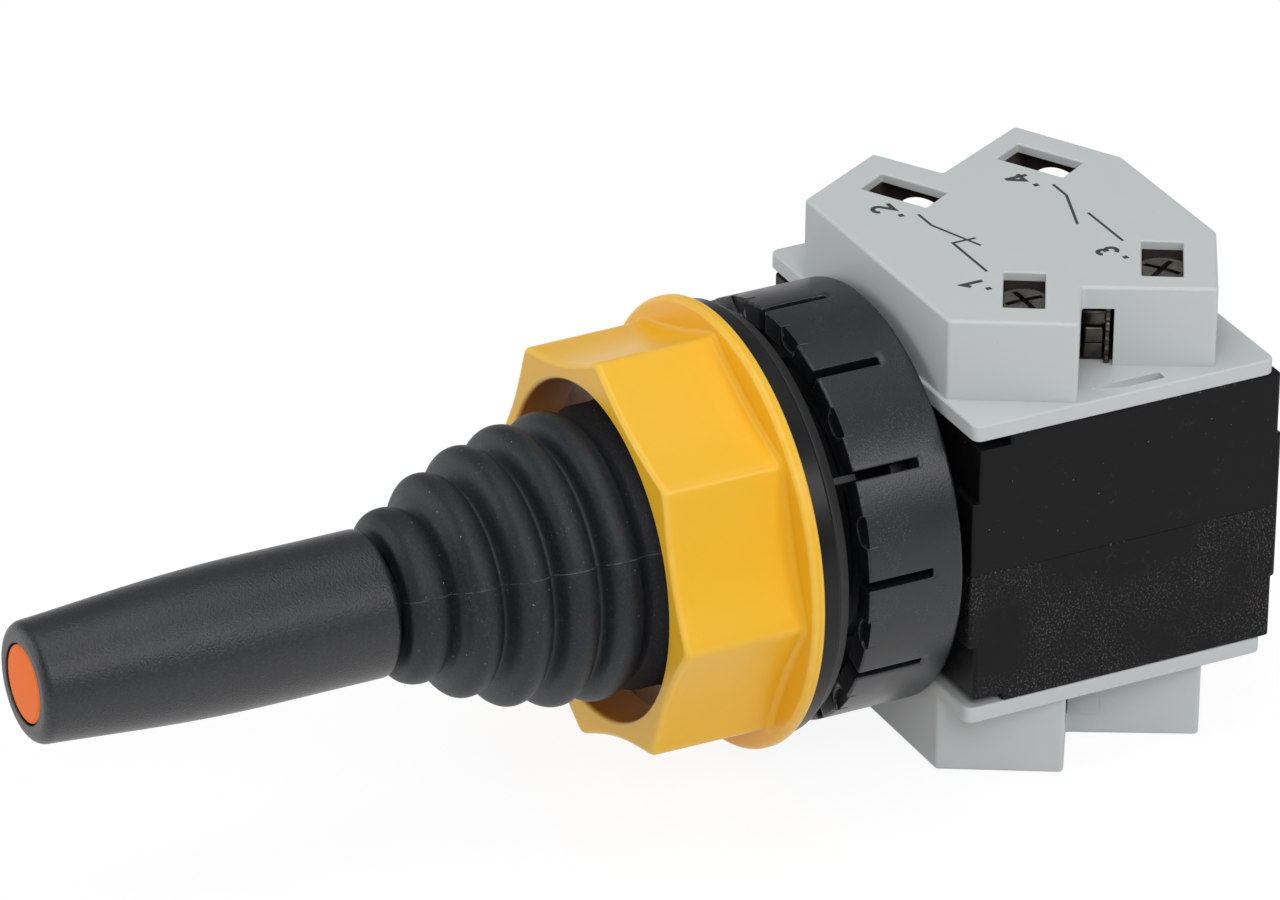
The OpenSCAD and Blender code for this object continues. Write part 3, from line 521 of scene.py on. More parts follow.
def make_rim_marks():
    """Fine raised lines round the half-round marks in the rim, each an arc and two ticks.

    A small ring of points is carried along the path, square to it."""
    t = np.linspace(0, pi, 15)
    path = np.concatenate([
        [[COLLAR_R + 0.01, y, -MARK_R] for y in (1.3, 0.8, 0.3)],
        np.stack([COLLAR_R - 0.05 - 1.72 * np.sin(t), 0 * t + 0.02, -1.72 * np.cos(t)], -1),
        [[COLLAR_R + 0.01, y, MARK_R] for y in (0.3, 0.7, 1.0)]])
    path[:, 0] += np.where(path[:, 1] > 0.1, np.sqrt(COLLAR_R ** 2 - MARK_R ** 2) - COLLAR_R, 0)
    path[:, 0] = np.minimum(path[:, 0], np.sqrt((COLLAR_R + 0.01) ** 2 - path[:, 2] ** 2))
    along = np.gradient(path, axis=0)
    along /= np.linalg.norm(along, axis=1, keepdims=True)
    out = np.cross(along, [0.3, 1.0, 0.1])
    out /= np.linalg.norm(out, axis=1, keepdims=True)
    up = np.cross(along, out)
    turn = even_angles(6)[None, :, None]
    wire = path[:, None] + 0.05 * (out[:, None] * np.cos(turn) + up[:, None] * np.sin(turn))
    return round_the_rim("rim_marks", wire)


collar = make_collar()
rim_marks = make_rim_marks()
print("collar:", len(collar.data.polygons), "faces and", SLOTS, "slots")

# %% [markdown]
# The boxy pieces are outlines carried straight through a thickness, with the edges rounded by
# insetting the first and last rows. Openings are cut afterwards with Boolean modifiers. The cutters
# for the screwdriver holes and the wire arches widen a little where they leave the surface, so
# those openings' edges come out rounded too.


# %% Prisms and cutters
def inset(outline, gap):
    """Moves every point of a closed outline inwards by gap, along the mitre of its two sides."""
    side = np.roll(outline, -1, 0) - outline
    side /= np.linalg.norm(side, axis=1, keepdims=True)
    out = np.stack([side[:, 1], -side[:, 0]], -1)
    mitre = out + np.roll(out, 1, 0)
    mitre /= np.linalg.norm(mitre, axis=1, keepdims=True)
    return outline - gap * mitre / (mitre * out).sum(1, keepdims=True)


def rounded_rows(low, high, rounding, steps=4):
    """(inset, level) pairs from low to high: a quarter circle, a straight side and another."""
    quarter = list(zip(*quarter_circle(steps, rounding)))
    return [(g, low + r) for g, r in quarter] + [(g, high - r) for g, r in quarter[::-1]]


def flared_rows(low, high, flare, steps=4):
    """(inset, level) pairs of a cutter that widens by flare over the last stretch below high."""
    rows = [(-r, high - g) for g, r in zip(*quarter_circle(steps, flare))]
    return [(0, low)] + rows + [(-flare, high + 2)]


def prism(name, outline, rows, place=None):
    """A closed outline (x, y) carried through rows of (inset, level), then put in its place."""
    outline = np.asarray(outline, float)
    grid = np.stack([np.column_stack([inset(outline, gap), np.full(len(outline), level)])
                     for gap, level in rows])
    points = grid.reshape(-1, 3)
    return make_piece(name, place(points) if place else points, tube_faces(*grid.shape[:2]), 30)


def merge(name, parts):
    """Several pieces as one, and the pieces themselves deleted."""
    shell = bmesh.new()
    for part in parts:
        shell.from_mesh(part.data)
        bpy.data.objects.remove(part)
    mesh = bpy.data.meshes.new(name)
    shell.to_mesh(mesh)
    shell.free()
    shade(mesh, 30)
    return add_object(name, mesh)


def rectangle(low, high):
    """The four corners of a rectangle, anticlockwise."""
    (x0, y0), (x1, y1) = low, high
    return np.array([[x0, y0], [x1, y0], [x1, y1], [x0, y1]], float)


def turned_over(side):
    """Half a turn about the lever's axis for the lower block, nothing for the upper one."""
    return lambda points: points * [side, 1, side]


def upright(points):
    """Swaps the last two coordinates, so that an outline drawn flat stands up."""
    return points[:, [0, 2, 1]]


def both(make, stem):
    """The same piece above and below the lever, by its side: 1 above and -1 below."""
    return {side: make(f"{stem}_{word}", side) for word, side in SIDES.items()}


print("prism helpers ready")

# %% [markdown]
# The chamber is two shells that meet at the lever's level. A band across the middle stands
# proud at the front and the rear, and the front top edge is relieved under the base plate. Each
# half is a stack of rounded rectangles whose front and rear move from level to level.


# %% The two halves of the chamber
CHAMBER_FRONT, CHAMBER_REAR = 12.5, 47.9
BAND_HALF = 8.4
WALL = 2.2
ROOF = 2.4
SCREW_INSET = 3.8
TUBE_R = 11.5
SLIDE_Y = 29.5


def make_chamber(name, side):
    """Levels of a rounded rectangle: each has its height, its front, its rear and its inset."""
    top, relief = CHAMBER_TOP, CHAMBER_TOP - 1.0
    set_back = CHAMBER_FRONT + 3.5
    quarter = [(sin(a), 1 - cos(a)) for a in np.linspace(0, pi / 2, 5)]
    levels = [(0.01, BAND_FRONT, BAND_REAR, 0.04), (0.06, BAND_FRONT, BAND_REAR, 0)]
    levels += [(BAND_HALF - 0.2 + 0.2 * u, BAND_FRONT + 0.2 * v, BAND_REAR - 0.2 * v, 0)
               for u, v in quarter]
    levels += [(BAND_HALF, CHAMBER_FRONT - 0.1, CHAMBER_REAR + 0.1, 0),
               (BAND_HALF + 0.1, CHAMBER_FRONT, CHAMBER_REAR, 0)]
    levels += [(relief - 0.2 + 0.2 * u, CHAMBER_FRONT + 0.2 * v, CHAMBER_REAR, 0)
               for u, v in quarter]
    levels += [(relief, set_back - 0.1, CHAMBER_REAR, 0), (relief + 0.1, set_back, CHAMBER_REAR, 0)]
    levels += [(top - 0.25 + 0.25 * u, set_back, CHAMBER_REAR, 0.25 * v) for u, v in quarter]
    outlines = soften([rectangle([gap - CHAMBER_X, front + gap], [CHAMBER_X - gap, rear - gap])
                       for _, front, rear, gap in levels], 0.35, 4)
    heights = np.array([level[0] for level in levels])

    def over(points):
        return points * [1, 1, side]

    grid = np.dstack([outlines, np.broadcast_to(heights[:, None], outlines.shape[:2])])
    shell = tube_piece(name, over(grid), 30)
    inside = rectangle([-CHAMBER_X + WALL, CHAMBER_FRONT + WALL],
                       [CHAMBER_X - WALL, CHAMBER_REAR - WALL])
    stem = rectangle([-2.5, SLIDE_Y - 2.5], [2.5, SLIDE_Y + 2.5])
    cutters = [prism("inside", inside, [(0, -1), (0, top - ROOF)], over),
               prism("stem", stem, [(0, 5), (0, top + 1)], over),
               prism("tube", circle(TUBE_R, 48),
                     [(0, BAND_FRONT - 1), (0, CHAMBER_FRONT + WALL + 1)], upright)]
    if side < 0:
        x = CHAMBER_X - SCREW_INSET
        wells = [(sx, y) for sx in (-x, x)
                 for y in (CHAMBER_FRONT + SCREW_INSET, CHAMBER_REAR - SCREW_INSET)]
        cutters += [prism("well", circle(2.7, 32) + well, [(0, top - ROOF), (0, top + 1)], over)
                    for well in wells]
    return cut_away(shell, cutters)


chambers = both(make_chamber, "chamber_shell")
print("chamber:", [len(half.data.polygons) for half in chambers.values()], "faces")

# %% [markdown]
# A contact block is a base plate with a cover on it. The cover's outline has two slanted
# lobes on each side, and each lobe ends square to the way a wire goes in, thirty degrees from
# the lever's line. A terminal's room lies under each screwdriver hole, and an arch leads
# the wire into it. The lower block is the same one turned half round the lever's axis.

# %% The contact blocks
TERMINAL_X = 12.8
TERMINAL_Y = (22.5, 38.8)
TERMINAL_TURN = radians(30)
TERMINAL_CEILING = 25.3
WINDOW_TOP = 23.8
ROOM_HALF = 4.15
MIDDLE_HALF = 6.6


def at_terminal(sx, y, side):
    """From a terminal's own axes, with +Y along the wire's way out, to the object's axes."""
    def place(points):
        px, py, pz = points.T
        x = TERMINAL_X + px * cos(TERMINAL_TURN) + py * sin(TERMINAL_TURN)
        turned = y - px * sin(TERMINAL_TURN) + py * cos(TERMINAL_TURN)
        return np.column_stack([sx * x, turned, pz]) * [side, 1, side]
    return place


def make_base(name, side):
    plate = soften(rectangle([-CHAMBER_X, BASE_FRONT], [CHAMBER_X, BASE_REAR]), 1.0, 6)
    over = turned_over(side)
    base = prism(name, plate, rounded_rows(CHAMBER_TOP, PLATE_TOP, 0.22), over)
    window = rectangle([-6.25, SLIDE_Y - MIDDLE_HALF], [6.25, SLIDE_Y + MIDDLE_HALF])
    cutters = [prism("window", window, [(0, CHAMBER_TOP - 1), (0, PLATE_TOP + 1)], over)]
    for sx in (-1, 1):
        groove = soften(rectangle([19.8, SLIDE_Y - 3], [21.1, SLIDE_Y + 5.2]), 0.2, 3)
        groove = (groove * [sx, 1])[::sx]

        def sloping(points):
            """The groove's floor falls towards the rear, where its end is square and deep."""
            fall = np.clip((points[:, 1] - SLIDE_Y + 3) / 8, 0, 1)
            z = np.where(points[:, 2] < PLATE_TOP, PLATE_TOP - 0.1 - 1.3 * fall, PLATE_TOP + 1)
            return over(np.column_stack([points[:, :2], z]))
        pocket = rectangle([19.95, SLIDE_Y + 4.3], [20.95, SLIDE_Y + 5.1]) * [sx, 1]
        cutters += [prism("groove", groove, [(0, PLATE_TOP - 1), (0, PLATE_TOP + 1)], sloping),
                    prism("pocket", pocket, [(0, PLATE_TOP - 3), (0, PLATE_TOP - 0.5)], over)]
    return cut_away(base, cutters)


def cover_corners():
    """Five corners of the right-hand side and their mirror images."""
    near, far = TERMINAL_Y
    lobe = CHAMBER_X - 0.4
    right = np.array([[TERMINAL_X + 2.7, COVER_FRONT], [lobe, near + 1.3],
                      [TERMINAL_X + 2, near + 5.7], [lobe - 0.7, far + 1.7],
                      [TERMINAL_X - 3, far + 8.2]])
    return np.vstack([right, right[::-1] * [-1, 1]])


def cover_outline():
    return soften(cover_corners(), [0.5, 0.5, 0.3, 0.5, 0.5] * 2, 5)


def paint_room_shade(cover):
    """Gives the second finish, a painted shade, to faces whose middle lies over a millimetre inside
    the outline.
    """
    outline = cover_outline()
    run = np.roll(outline, -1, 0) - outline
    for face in cover.data.polygons:
        x, y, z = np.array(face.center) * 1000
        point = np.array([x * np.sign(z), y])
        t = np.clip(((point - outline) * run).sum(1) / (run ** 2).sum(1), 0, 1)
        depth = np.linalg.norm(point - outline - t[:, None] * run, axis=1).min()
        face.material_index = int(depth > 1.1 and abs(z) < TERMINAL_CEILING + 0.05)


def make_cover(name, side):
    over = turned_over(side)
    cover = prism(name, cover_outline(),
                  [(0, PLATE_TOP)] + rounded_rows(PLATE_TOP - 3, BLOCK_TOP, 0.4)[5:], over)
    cavity = rectangle([-8.15, SLIDE_Y - MIDDLE_HALF], [8.15, SLIDE_Y + MIDDLE_HALF])
    cutters = [prism("cavity", cavity, [(0, PLATE_TOP - 1), (0, BLOCK_TOP - 1.1)], over)]
    room = rectangle([-ROOM_HALF, -3.4], [ROOM_HALF, 4.2])
    driver = soften(rectangle([-4.0, -2.15], [4.0, 2.15]), 0.15, 2)
    arch_z = PLATE_TOP + 2.15
    arch = np.vstack([[[-ROOM_HALF, PLATE_TOP - 1], [ROOM_HALF, PLATE_TOP - 1]],
                      circle(ROOM_HALF, 48)[:25] + [0, arch_z]])
    side_window = rectangle([-10, ROOM_HALF + 1.85], [-1, ROOM_HALF + 5.15])
    for sx in (-1, 1):
        for y in TERMINAL_Y:
            place = at_terminal(sx, y, side)
            cutters += [
                prism("room", room, [(0, PLATE_TOP - 1), (0, TERMINAL_CEILING)], place),
                prism("driver", driver,
                      flared_rows(TERMINAL_CEILING - 0.5, BLOCK_TOP, 0.22), place),
                prism("arch", arch, flared_rows(3, 5.75, 0.2),
                      lambda p, place=place: place(upright(p)))]
        cutters.append(prism("side", side_window, [(0, PLATE_TOP - 1), (0, WINDOW_TOP)],
                             at_terminal(sx, TERMINAL_Y[0], side)))
    return cut_away(cover, cutters)


bases = both(make_base, "block_plate")
covers = both(make_cover, "block_case")
print("covers:", [len(c.data.polygons) for c in covers.values()], "faces")

# %% [markdown]
# A little of the inside can be seen from outside. Through the screwdriver holes lie the heads
# of the terminal screws, two of them backed out for a wire, and the side window shows the edges
# of the clamp's steel. A thin sheet of painted shade closes off what lies below, with a window for
# the plunger.


# %% What shows through the openings
def make_screws(name, side):
    """Four cross-slotted screws with a knurled edge: radius + 0.07 times the sine of 44 turns.

    The right-hand pair is backed out for a wire and stands higher. Fine rings on the head
    are a cosine along its radius, as a lathe leaves them."""
    angles = even_angles(264)
    points, faces, first = [], [], 0
    for sx in (1, -1):
        top = 25.15 if sx > 0 else 22.6
        r = np.linspace(0, 2.75, 36)
        rings = np.stack([r, top - 0.12 * (r / 2.75) ** 2 - 0.01 * np.cos(2 * pi * r / 0.47)], -1)
        side_rows = np.array([[2.98, top - 0.2], [3.12, top - 0.35], [3.12, 22.1], [3.0, 21.95],
                              [3.5, 21.9], [3.6, 21.8], [3.5, 21.7], [1.72, 21.7], [1.72, 16.4],
                              [0, 16.2]])
        profile = np.vstack([rings, side_rows])
        knurl = np.zeros(len(profile))
        knurl[len(rings):len(rings) + 3] = [0.05, 0.09, 0.09]
        radius = profile[:, :1] + knurl[:, None] * np.sin(44 * angles)
        grid = carry_round(radius, profile[:, 1:], angles)[..., [0, 2, 1]]
        head = closed_piece("head", grid)
        bars = [prism("bar", rectangle([-w, -h], [w, h]), [(0, top - 0.75), (0, top + 1)])
                for w, h in ((2.1, 0.32), (0.32, 2.1))]
        cut_away(head, bars)
        turning = upright(corners_of(head.data) * 1000)
        corners = [list(face.vertices) for face in head.data.polygons]
        bpy.data.objects.remove(head)
        for turn, y in zip((0.5, 1.1), TERMINAL_Y):
            turned = upright(about_lever(turning, turn))
            points.append(at_terminal(sx, y, side)(turned))
            faces += [[i + first for i in face] for face in corners]
            first += len(turned)
    return make_piece(name, np.vstack(points), faces, 30)


def make_shade_sheet(name, side):
    """A thin sheet of painted shade under the cover, a little smaller than the cover's own outline.
    """
    outline = inset(cover_corners(), 1.3)
    over = turned_over(side)
    shade_sheet = prism(name, outline, [(0, PLATE_TOP - 0.05), (0, PLATE_TOP + 0.12)], over)
    window = rectangle([-7.6, SLIDE_Y - 6.8], [7.6, SLIDE_Y + 6.8])
    window = prism("window", window, [(0, PLATE_TOP - 1), (0, PLATE_TOP + 1)], over)
    return cut_away(shade_sheet, [window])


def make_stack(name, side):
    """The steel seen through the side window: a clamp washer, two plates and a sheared edge.

    The sheared edge is a strip whose face wanders by sines of its height."""
    parts = []
    for sx in (1, -1):
        place = at_terminal(sx, TERMINAL_Y[0], side)
        disc = circle(3.1, 64) + [-4.7, 7.3]
        plate = soften(rectangle([-7, 6.2], [-1.7, 8.25]), 0.25, 3)
        lower = soften(rectangle([-7, 6.2], [-2.3, 8.3]), 0.2, 3)
        z = np.linspace(PLATE_TOP + 0.1, WINDOW_TOP - 0.1, 40)
        wavy = -1.65 + 0.1 * np.sin(5.1 * z) + 0.07 * np.sin(11.3 * z + 1)
        sheet = np.vstack([np.stack([wavy, z], -1), [[-6, z[-1]], [-6, z[0]]]])
        parts += [prism("washer", disc, rounded_rows(21.5, 23.4, 0.5), place),
                  prism("plate", plate, rounded_rows(19.5, 21.4, 0.4), place),
                  prism("lower", lower, rounded_rows(17.5, 19.3, 0.2), place),
                  prism("sheet", sheet, rounded_rows(8.35, 8.95, 0.15),
                        lambda p, place=place: place(upright(p)))]
    return merge(name, parts)


stacks = both(make_stack, "clamp_stack")
shade_sheets = both(make_shade_sheet, "block_liner")
screws = both(make_screws, "wire_screws")
print("screws:", [len(head.data.polygons) for head in screws.values()], "faces")

# %% [markdown]
# Each cover carries plain printing: the four terminal numbers and the usual line symbols of
# a closed and an open contact. It lies on the plastic as thin ink does. Every figure is drawn
# with ribbons of one width along short paths, and the paths of the round figures are arcs.

# %% The printing
INK = 0.02


def arc(x, y, radius, start, end, steps=14):
    """Points on a circle from one angle to another, in degrees."""
    a = np.radians(np.linspace(start, end, steps))
    return np.stack([x + radius * np.cos(a), y + radius * np.sin(a)], -1)


# Paths of the figures, with x to the right and y up from the middle of the base line.
FIGURES = {
    "1": [np.array([(-0.55, 1.62), (0.14, 2.2), (0.14, 0)])],
    "2": [np.vstack([arc(-0.02, 1.62, 0.6, 165, -35), [(-0.62, 0.21), (0.8, 0.21)]])],
    "3": [arc(-0.04, 1.7, 0.5, 150, -90), arc(-0.04, 0.77, 0.58, 92, -155)],
    "4": [np.array([(0.36, 0), (0.36, 2.42)]),
          np.array([(0.28, 2.3), (-0.66, 0.76), (0.84, 0.76)])]}
NUMBERS = {"1": (9.28, 19.62), "2": (-9.9, 19.62), "3": (8.86, 35.77), "4": (-9.95, 35.77)}
DOTS = [(10.96, 19.35), (-7.69, 19.35), (10.92, 35.5), (-7.81, 35.5)]
SYMBOLS = [[(-7.12, 21.08), (-4.3, 21.08), (2.0, 23.42)],
           [(0.27, 23.77), (0.27, 21.08), (7.5, 21.08)],
           [(-7.12, 37.15), (-4.3, 37.15), (2.08, 34.85)], [(0.27, 37.15), (7.5, 37.15)]]
LINE, STROKE, DOT = 0.3, 0.46, 0.56


def ribbon(path, width):
    """The outline of a band along a path: each point moved half a width along its mitre."""
    path = np.asarray(path, float)
    step = np.diff(path, axis=0)
    step /= np.linalg.norm(step, axis=1, keepdims=True)
    side = np.stack([-step[:, 1], step[:, 0]], -1)
    mitre = np.vstack([side[:1], side[:-1] + side[1:], side[-1:]])
    near = np.vstack([side[:1], side])
    mitre /= (mitre * near).sum(1, keepdims=True)
    return np.vstack([path + mitre * width / 2, (path - mitre * width / 2)[::-1]])


def make_print(name, side):
    """Thin prisms for the lines, the dots and the figures, which read from the block's rear."""
    outlines = [ribbon(path, LINE) for path in SYMBOLS]
    outlines += [ribbon([(x - DOT / 2, y), (x + DOT / 2, y)], DOT) for x, y in DOTS]
    for figure, (x, y) in NUMBERS.items():
        outlines += [[x, y] - 1.06 * ribbon(path, STROKE) for path in FIGURES[figure]]
    points, faces, first = [], [], 0
    for layer, outline in enumerate(outlines):
        count = len(outline)
        for level in (BLOCK_TOP - INK, BLOCK_TOP + INK + 0.006 * (layer % 3)):
            points.append(np.column_stack([outline, np.full(count, level)]))
        faces += tube_faces(2, count, first)
        first += 2 * count
    return make_piece(name, turned_over(side)(np.vstack(points)), faces)


prints = both(make_print, "block_print")
print("printing:", len(SYMBOLS), "lines and", len(NUMBERS), "numbers on each block")

# %% [markdown]
# Finishes. Every material starts from one Principled shader and reads Object coordinates,
# which are metres here, so a grain of a tenth of a millimetre stays that size on every piece.
# Small functions give the things that moulded plastic and rubber share: grain, dust specks,
# fine scratches, rubbed patches and painted highlights on edges. A finish is then a base colour
# with a few of them on top.


# %% Node helpers
def node(tree, kind, inputs=None, **settings):
    """A shader node with its settings; each input is a value or another node's output."""
    made = tree.nodes.new("ShaderNode" + kind)
    for name, value in settings.items():
        setattr(made, name, value)
    for name, value in (inputs or {}).items():
        if isinstance(value, bpy.types.NodeSocket):
            tree.links.new(value, made.inputs[name])
        else:
            made.inputs[name].default_value = value
    return made


def place_of(tree, stretch=(1, 1, 1)):
    """Object coordinates, stretched along the axes."""
    source = node(tree, "TexCoord").outputs["Object"]
    return node(tree, "Mapping", {"Vector": source, "Scale": stretch}).outputs["Vector"]


def cloud(tree, size, detail, stretch=(1, 1, 1)):
    """Soft noise from 0 to 1 whose features are about size millimetres."""
    return node(tree, "TexNoise", {"Vector": place_of(tree, stretch), "Scale": 1000 / size,
                                   "Detail": detail}).outputs["Fac"]


def math(tree, operation, a, b=0.0):
    """One arithmetic step on two values."""
    return node(tree, "Math", {0: a, 1: b}, operation=operation).outputs[0]


def product(tree, *values):
    """All the values multiplied together."""
    result = values[0]
    for value in values[1:]:
        result = math(tree, "MULTIPLY", result, value)
    return result


def between(tree, value, low, high):
    """0 below low and 1 above high, with a smooth step from one to the other."""
    return node(tree, "MapRange", {"Value": value, "From Min": low, "From Max": high},
                interpolation_type="SMOOTHSTEP").outputs["Result"]


def patches(tree, size, detail, low, high, stretch=(1, 1, 1)):
    """Soft noise that is 0 where it lies below low and 1 where it lies above high."""
    return between(tree, cloud(tree, size, detail, stretch), low, high)


def specks(tree, cell, dot, kept):
    """Dots of about dot millimetres, in a share kept of cells that are cell millimetres wide."""
    cells = node(tree, "TexVoronoi", {"Vector": place_of(tree), "Scale": 1000 / cell})
    near = between(tree, cells.outputs["Distance"], 0.5 * dot / cell, 0.3 * dot / cell)
    pick = node(tree, "SeparateColor", {"Color": cells.outputs["Color"]}).outputs["Red"]
    return product(tree, near, math(tree, "GREATER_THAN", pick, 1 - kept))


def hairs(tree, size, width, kept):
    """Thin wandering lines: the places where soft noise crosses one half, in scattered patches."""
    line = math(tree, "ABSOLUTE", math(tree, "SUBTRACT", cloud(tree, size, 3.0), 0.5))
    line = between(tree, line, width, 0.3 * width)
    return product(tree, line, patches(tree, 2.1 * size, 2.0, 1 - kept, 1.08 - kept))


def blend_colour(tree, amount, base, top):
    """Goes from base to top as amount goes from 0 to 1."""
    mixed = node(tree, "Mix", {"Factor": amount, "A": base, "B": top}, data_type="RGBA",
                 clamp_factor=True)
    return mixed.outputs["Result"]


def tone(red, green, blue):
    """A screen colour from 0 to 255 as the linear colour that the shader takes."""
    screen = np.array([red, green, blue]) / 255
    linear = np.where(screen <= 0.04045, screen / 12.92, ((screen + 0.055) / 1.055) ** 2.4)
    return (*linear, 1.0)


def lighter(colour, much, warm=(1, 1, 1)):
    """A colour times a number, and times a share for each of red, green and blue."""
    return (*(much * np.array(colour[:3]) * warm), 1)


def finish(name, colour, roughness, paint=None, grain=0.12, relief=0.004, stretch=(1, 1, 1),
           **sockets):
    """A material with a grain in its relief and a slight drift in its roughness.

    grain is the size of the grain and relief its depth, both in millimetres. paint(tree,
    colour) makes the colour's pattern, and the sockets are the shader's own."""
    material = bpy.data.materials.new(name)
    material.use_nodes = True
    tree = material.node_tree
    shader = tree.nodes["Principled BSDF"]
    shader.inputs["Base Color"].default_value = colour
    for socket, value in sockets.items():
        shader.inputs[socket.replace("_", " ")].default_value = value
    drift = node(tree, "MapRange", {"Value": cloud(tree, 3.0, 4.0), "To Min": roughness - 0.06,
                                    "To Max": roughness + 0.06}).outputs["Result"]
    tree.links.new(drift, shader.inputs["Roughness"])
    bump = node(tree, "Bump", {"Height": cloud(tree, grain, 3.0, stretch), "Strength": 1.0,
                               "Distance": relief / 1000})
    tree.links.new(bump.outputs["Normal"], shader.inputs["Normal"])
    if paint:
        tree.links.new(paint(tree, colour), shader.inputs["Base Color"])
    return material


def along(tree, axis):
    """One coordinate of the place, in millimetres."""
    split = node(tree, "SeparateXYZ", {"Vector": place_of(tree)})
    return product(tree, split.outputs[axis], 1000.0)


print("finish helpers ready")


# %% Rubber and plastic
def dusty(speck_size, share, dust, hair=0.0, mottle=1.1):
    """Paint with dust specks and, where hair is above nothing, a few fine fibres.

    mottle is how much lighter the fine mottling is than the colour."""
    def paint(tree, colour):
        result = blend_colour(tree, cloud(tree, 6.0, 4.0), colour,
                              lighter(colour, 0.5 + 0.5 * mottle))
        result = blend_colour(tree, patches(tree, 0.34, 3.0, 0.46, 0.66), result,
                              lighter(colour, mottle))
        for size in (speck_size, speck_size / 2):
            result = blend_colour(tree, specks(tree, 10 * size, size, share), result, dust)
        if hair:
            fibres = product(tree, hairs(tree, 1.4, 0.006, 0.42), hair)
            result = blend_colour(tree, fibres, result, dust)
        return result
    return paint


def rubbed(colour_rubbed, spread, share, low, high):
    """Paint rubbed lighter in grains between two places along the lever, in millimetres."""
    def paint(tree, colour):
        place = along(tree, "Y")
        zone = product(tree, between(tree, place, low - spread, low + spread),
                       between(tree, place, high + spread, high - spread))
        grains = patches(tree, 0.16, 2.0, 0.56, 0.72)
        patch = patches(tree, 4.5, 3.0, 0.45, 0.7)
        base = dusty(0.14, 0.12, colour_rubbed, 0.5)(tree, colour)
        return blend_colour(tree, product(tree, zone, grains, patch, share), base, colour_rubbed)
    return paint


def edge_lit(light, amount, bore=0.0):
    """Paint with a painted highlight where the edge attribute says that the surface bulges, and
    painted shade inside a bore.
    """
    def paint(tree, colour):
        edge = node(tree, "Attribute", attribute_name="edge").outputs["Fac"]
        base = blend_colour(tree, cloud(tree, 9.0, 3.0), colour,
                            lighter(colour, 1, [1.0, 1.06, 1.1]))
        # Painted highlight: the bulging edges are lightened towards the light colour, in soft
        # patches.
        soft = product(tree, edge, product(tree, cloud(tree, 1.5, 3.0), amount * 2))
        base = blend_colour(tree, soft, base, light)
        # Painted shade: inside the bore, the colour turns to a darker, redder orange.
        if bore:
            place = node(tree, "SeparateXYZ", {"Vector": place_of(tree)}).outputs
            radius = node(tree, "CombineXYZ", {"X": place["X"], "Z": place["Z"]}).outputs[0]
            radius = node(tree, "VectorMath", {0: radius}, operation="LENGTH").outputs["Value"]
            inside = between(tree, product(tree, radius, 1000.0), bore + 0.35, bore - 0.15)
            base = blend_colour(tree, inside, base, tone(214, 112, 34))
        return base
    return paint


def sanded(paint, light):
    """A paint under fine pale grains that lie in patches, denser here and thinner there."""
    def painted(tree, colour):
        grains = patches(tree, 0.22, 2.0, 0.53, 0.68)
        patch = patches(tree, 9.0, 3.0, 0.36, 0.66)
        return blend_colour(tree, product(tree, grains, patch, 0.75), paint(tree, colour), light)
    return painted


def lined(paint, light):
    """A paint with the mould's fine line, where the piece's own attribute has it."""
    def painted(tree, colour):
        line = node(tree, "Attribute", attribute_name="line").outputs["Fac"]
        broken = patches(tree, 1.2, 2.0, 0.3, 0.6)
        return blend_colour(tree, product(tree, line, broken), paint(tree, colour), light)
    return painted


def parted(paint, light):
    """A paint with a broken light line where the two halves meet, which is the mould's line, and a
    broken painted highlight along the outer edges.
    """
    def painted(tree, colour):
        height = math(tree, "ABSOLUTE", along(tree, "Z"))
        # The band where the halves meet is the mould's line; the band at the outer edges is painted
        # highlight.
        line = math(tree, "MAXIMUM", between(tree, height, 0.16, 0.05),
                    between(tree, height, CHAMBER_TOP - 0.3, CHAMBER_TOP - 0.15))
        line_breaks = product(tree, patches(tree, 0.4, 3.0, 0.54, 0.7, (1, 1, 0.2)),
                        patches(tree, 5.0, 2.0, 0.42, 0.62))
        return blend_colour(tree, product(tree, line, line_breaks), paint(tree, colour), light)
    return painted


DULL = tone(110, 112, 112)
grip_black = finish(
    "grip black", tone(21, 23, 25), 0.34, dusty(0.14, 0.3, tone(112, 116, 118), mottle=2.3),
    grain=0.22, relief=0.07, Specular_IOR_Level=0.6)
# The disc and the nut carry painted highlights on their bulging edges, and the nut painted shade in
# its bore.
orange = finish("disc orange", tone(255, 117, 28), 0.42, edge_lit(tone(252, 140, 70), 0.5),
                grain=0.3, relief=0.003, Specular_IOR_Level=0.1)
bellows_rubber = finish(
    "bellows rubber", tone(25, 30, 34), 0.5,
    lined(dusty(0.17, 0.7, tone(150, 156, 160), 0.2, 1.9), tone(96, 102, 106)),
    grain=0.14, relief=0.03, Specular_IOR_Level=0.36)
yellow = finish("nut yellow", tone(250, 188, 34), 0.33, edge_lit(tone(255, 208, 96), 0.55, BORE_R),
                grain=0.5, relief=0.003, Subsurface_Weight=0.12, Specular_IOR_Level=0.35,
                Subsurface_Radius=(0.002, 0.001, 0.0003), Subsurface_Scale=1.0)
ring_black = finish("ring black", tone(22, 23, 24), 0.3, dusty(0.1, 0.1, tone(110, 110, 108)),
                    grain=0.3, relief=0.003, Specular_IOR_Level=0.25)
gasket_rubber = finish("gasket rubber", tone(30, 31, 32), 0.5, dusty(0.1, 0.3, tone(84, 85, 85)),
                       grain=0.16, relief=0.05, Specular_IOR_Level=0.45)
collar_nylon = finish(
    "collar nylon", tone(23, 26, 29), 0.34, rubbed(tone(84, 90, 94), 1.6, 0.7, -1.0, 12.0),
    grain=0.2, relief=0.02, Specular_IOR_Level=0.6)
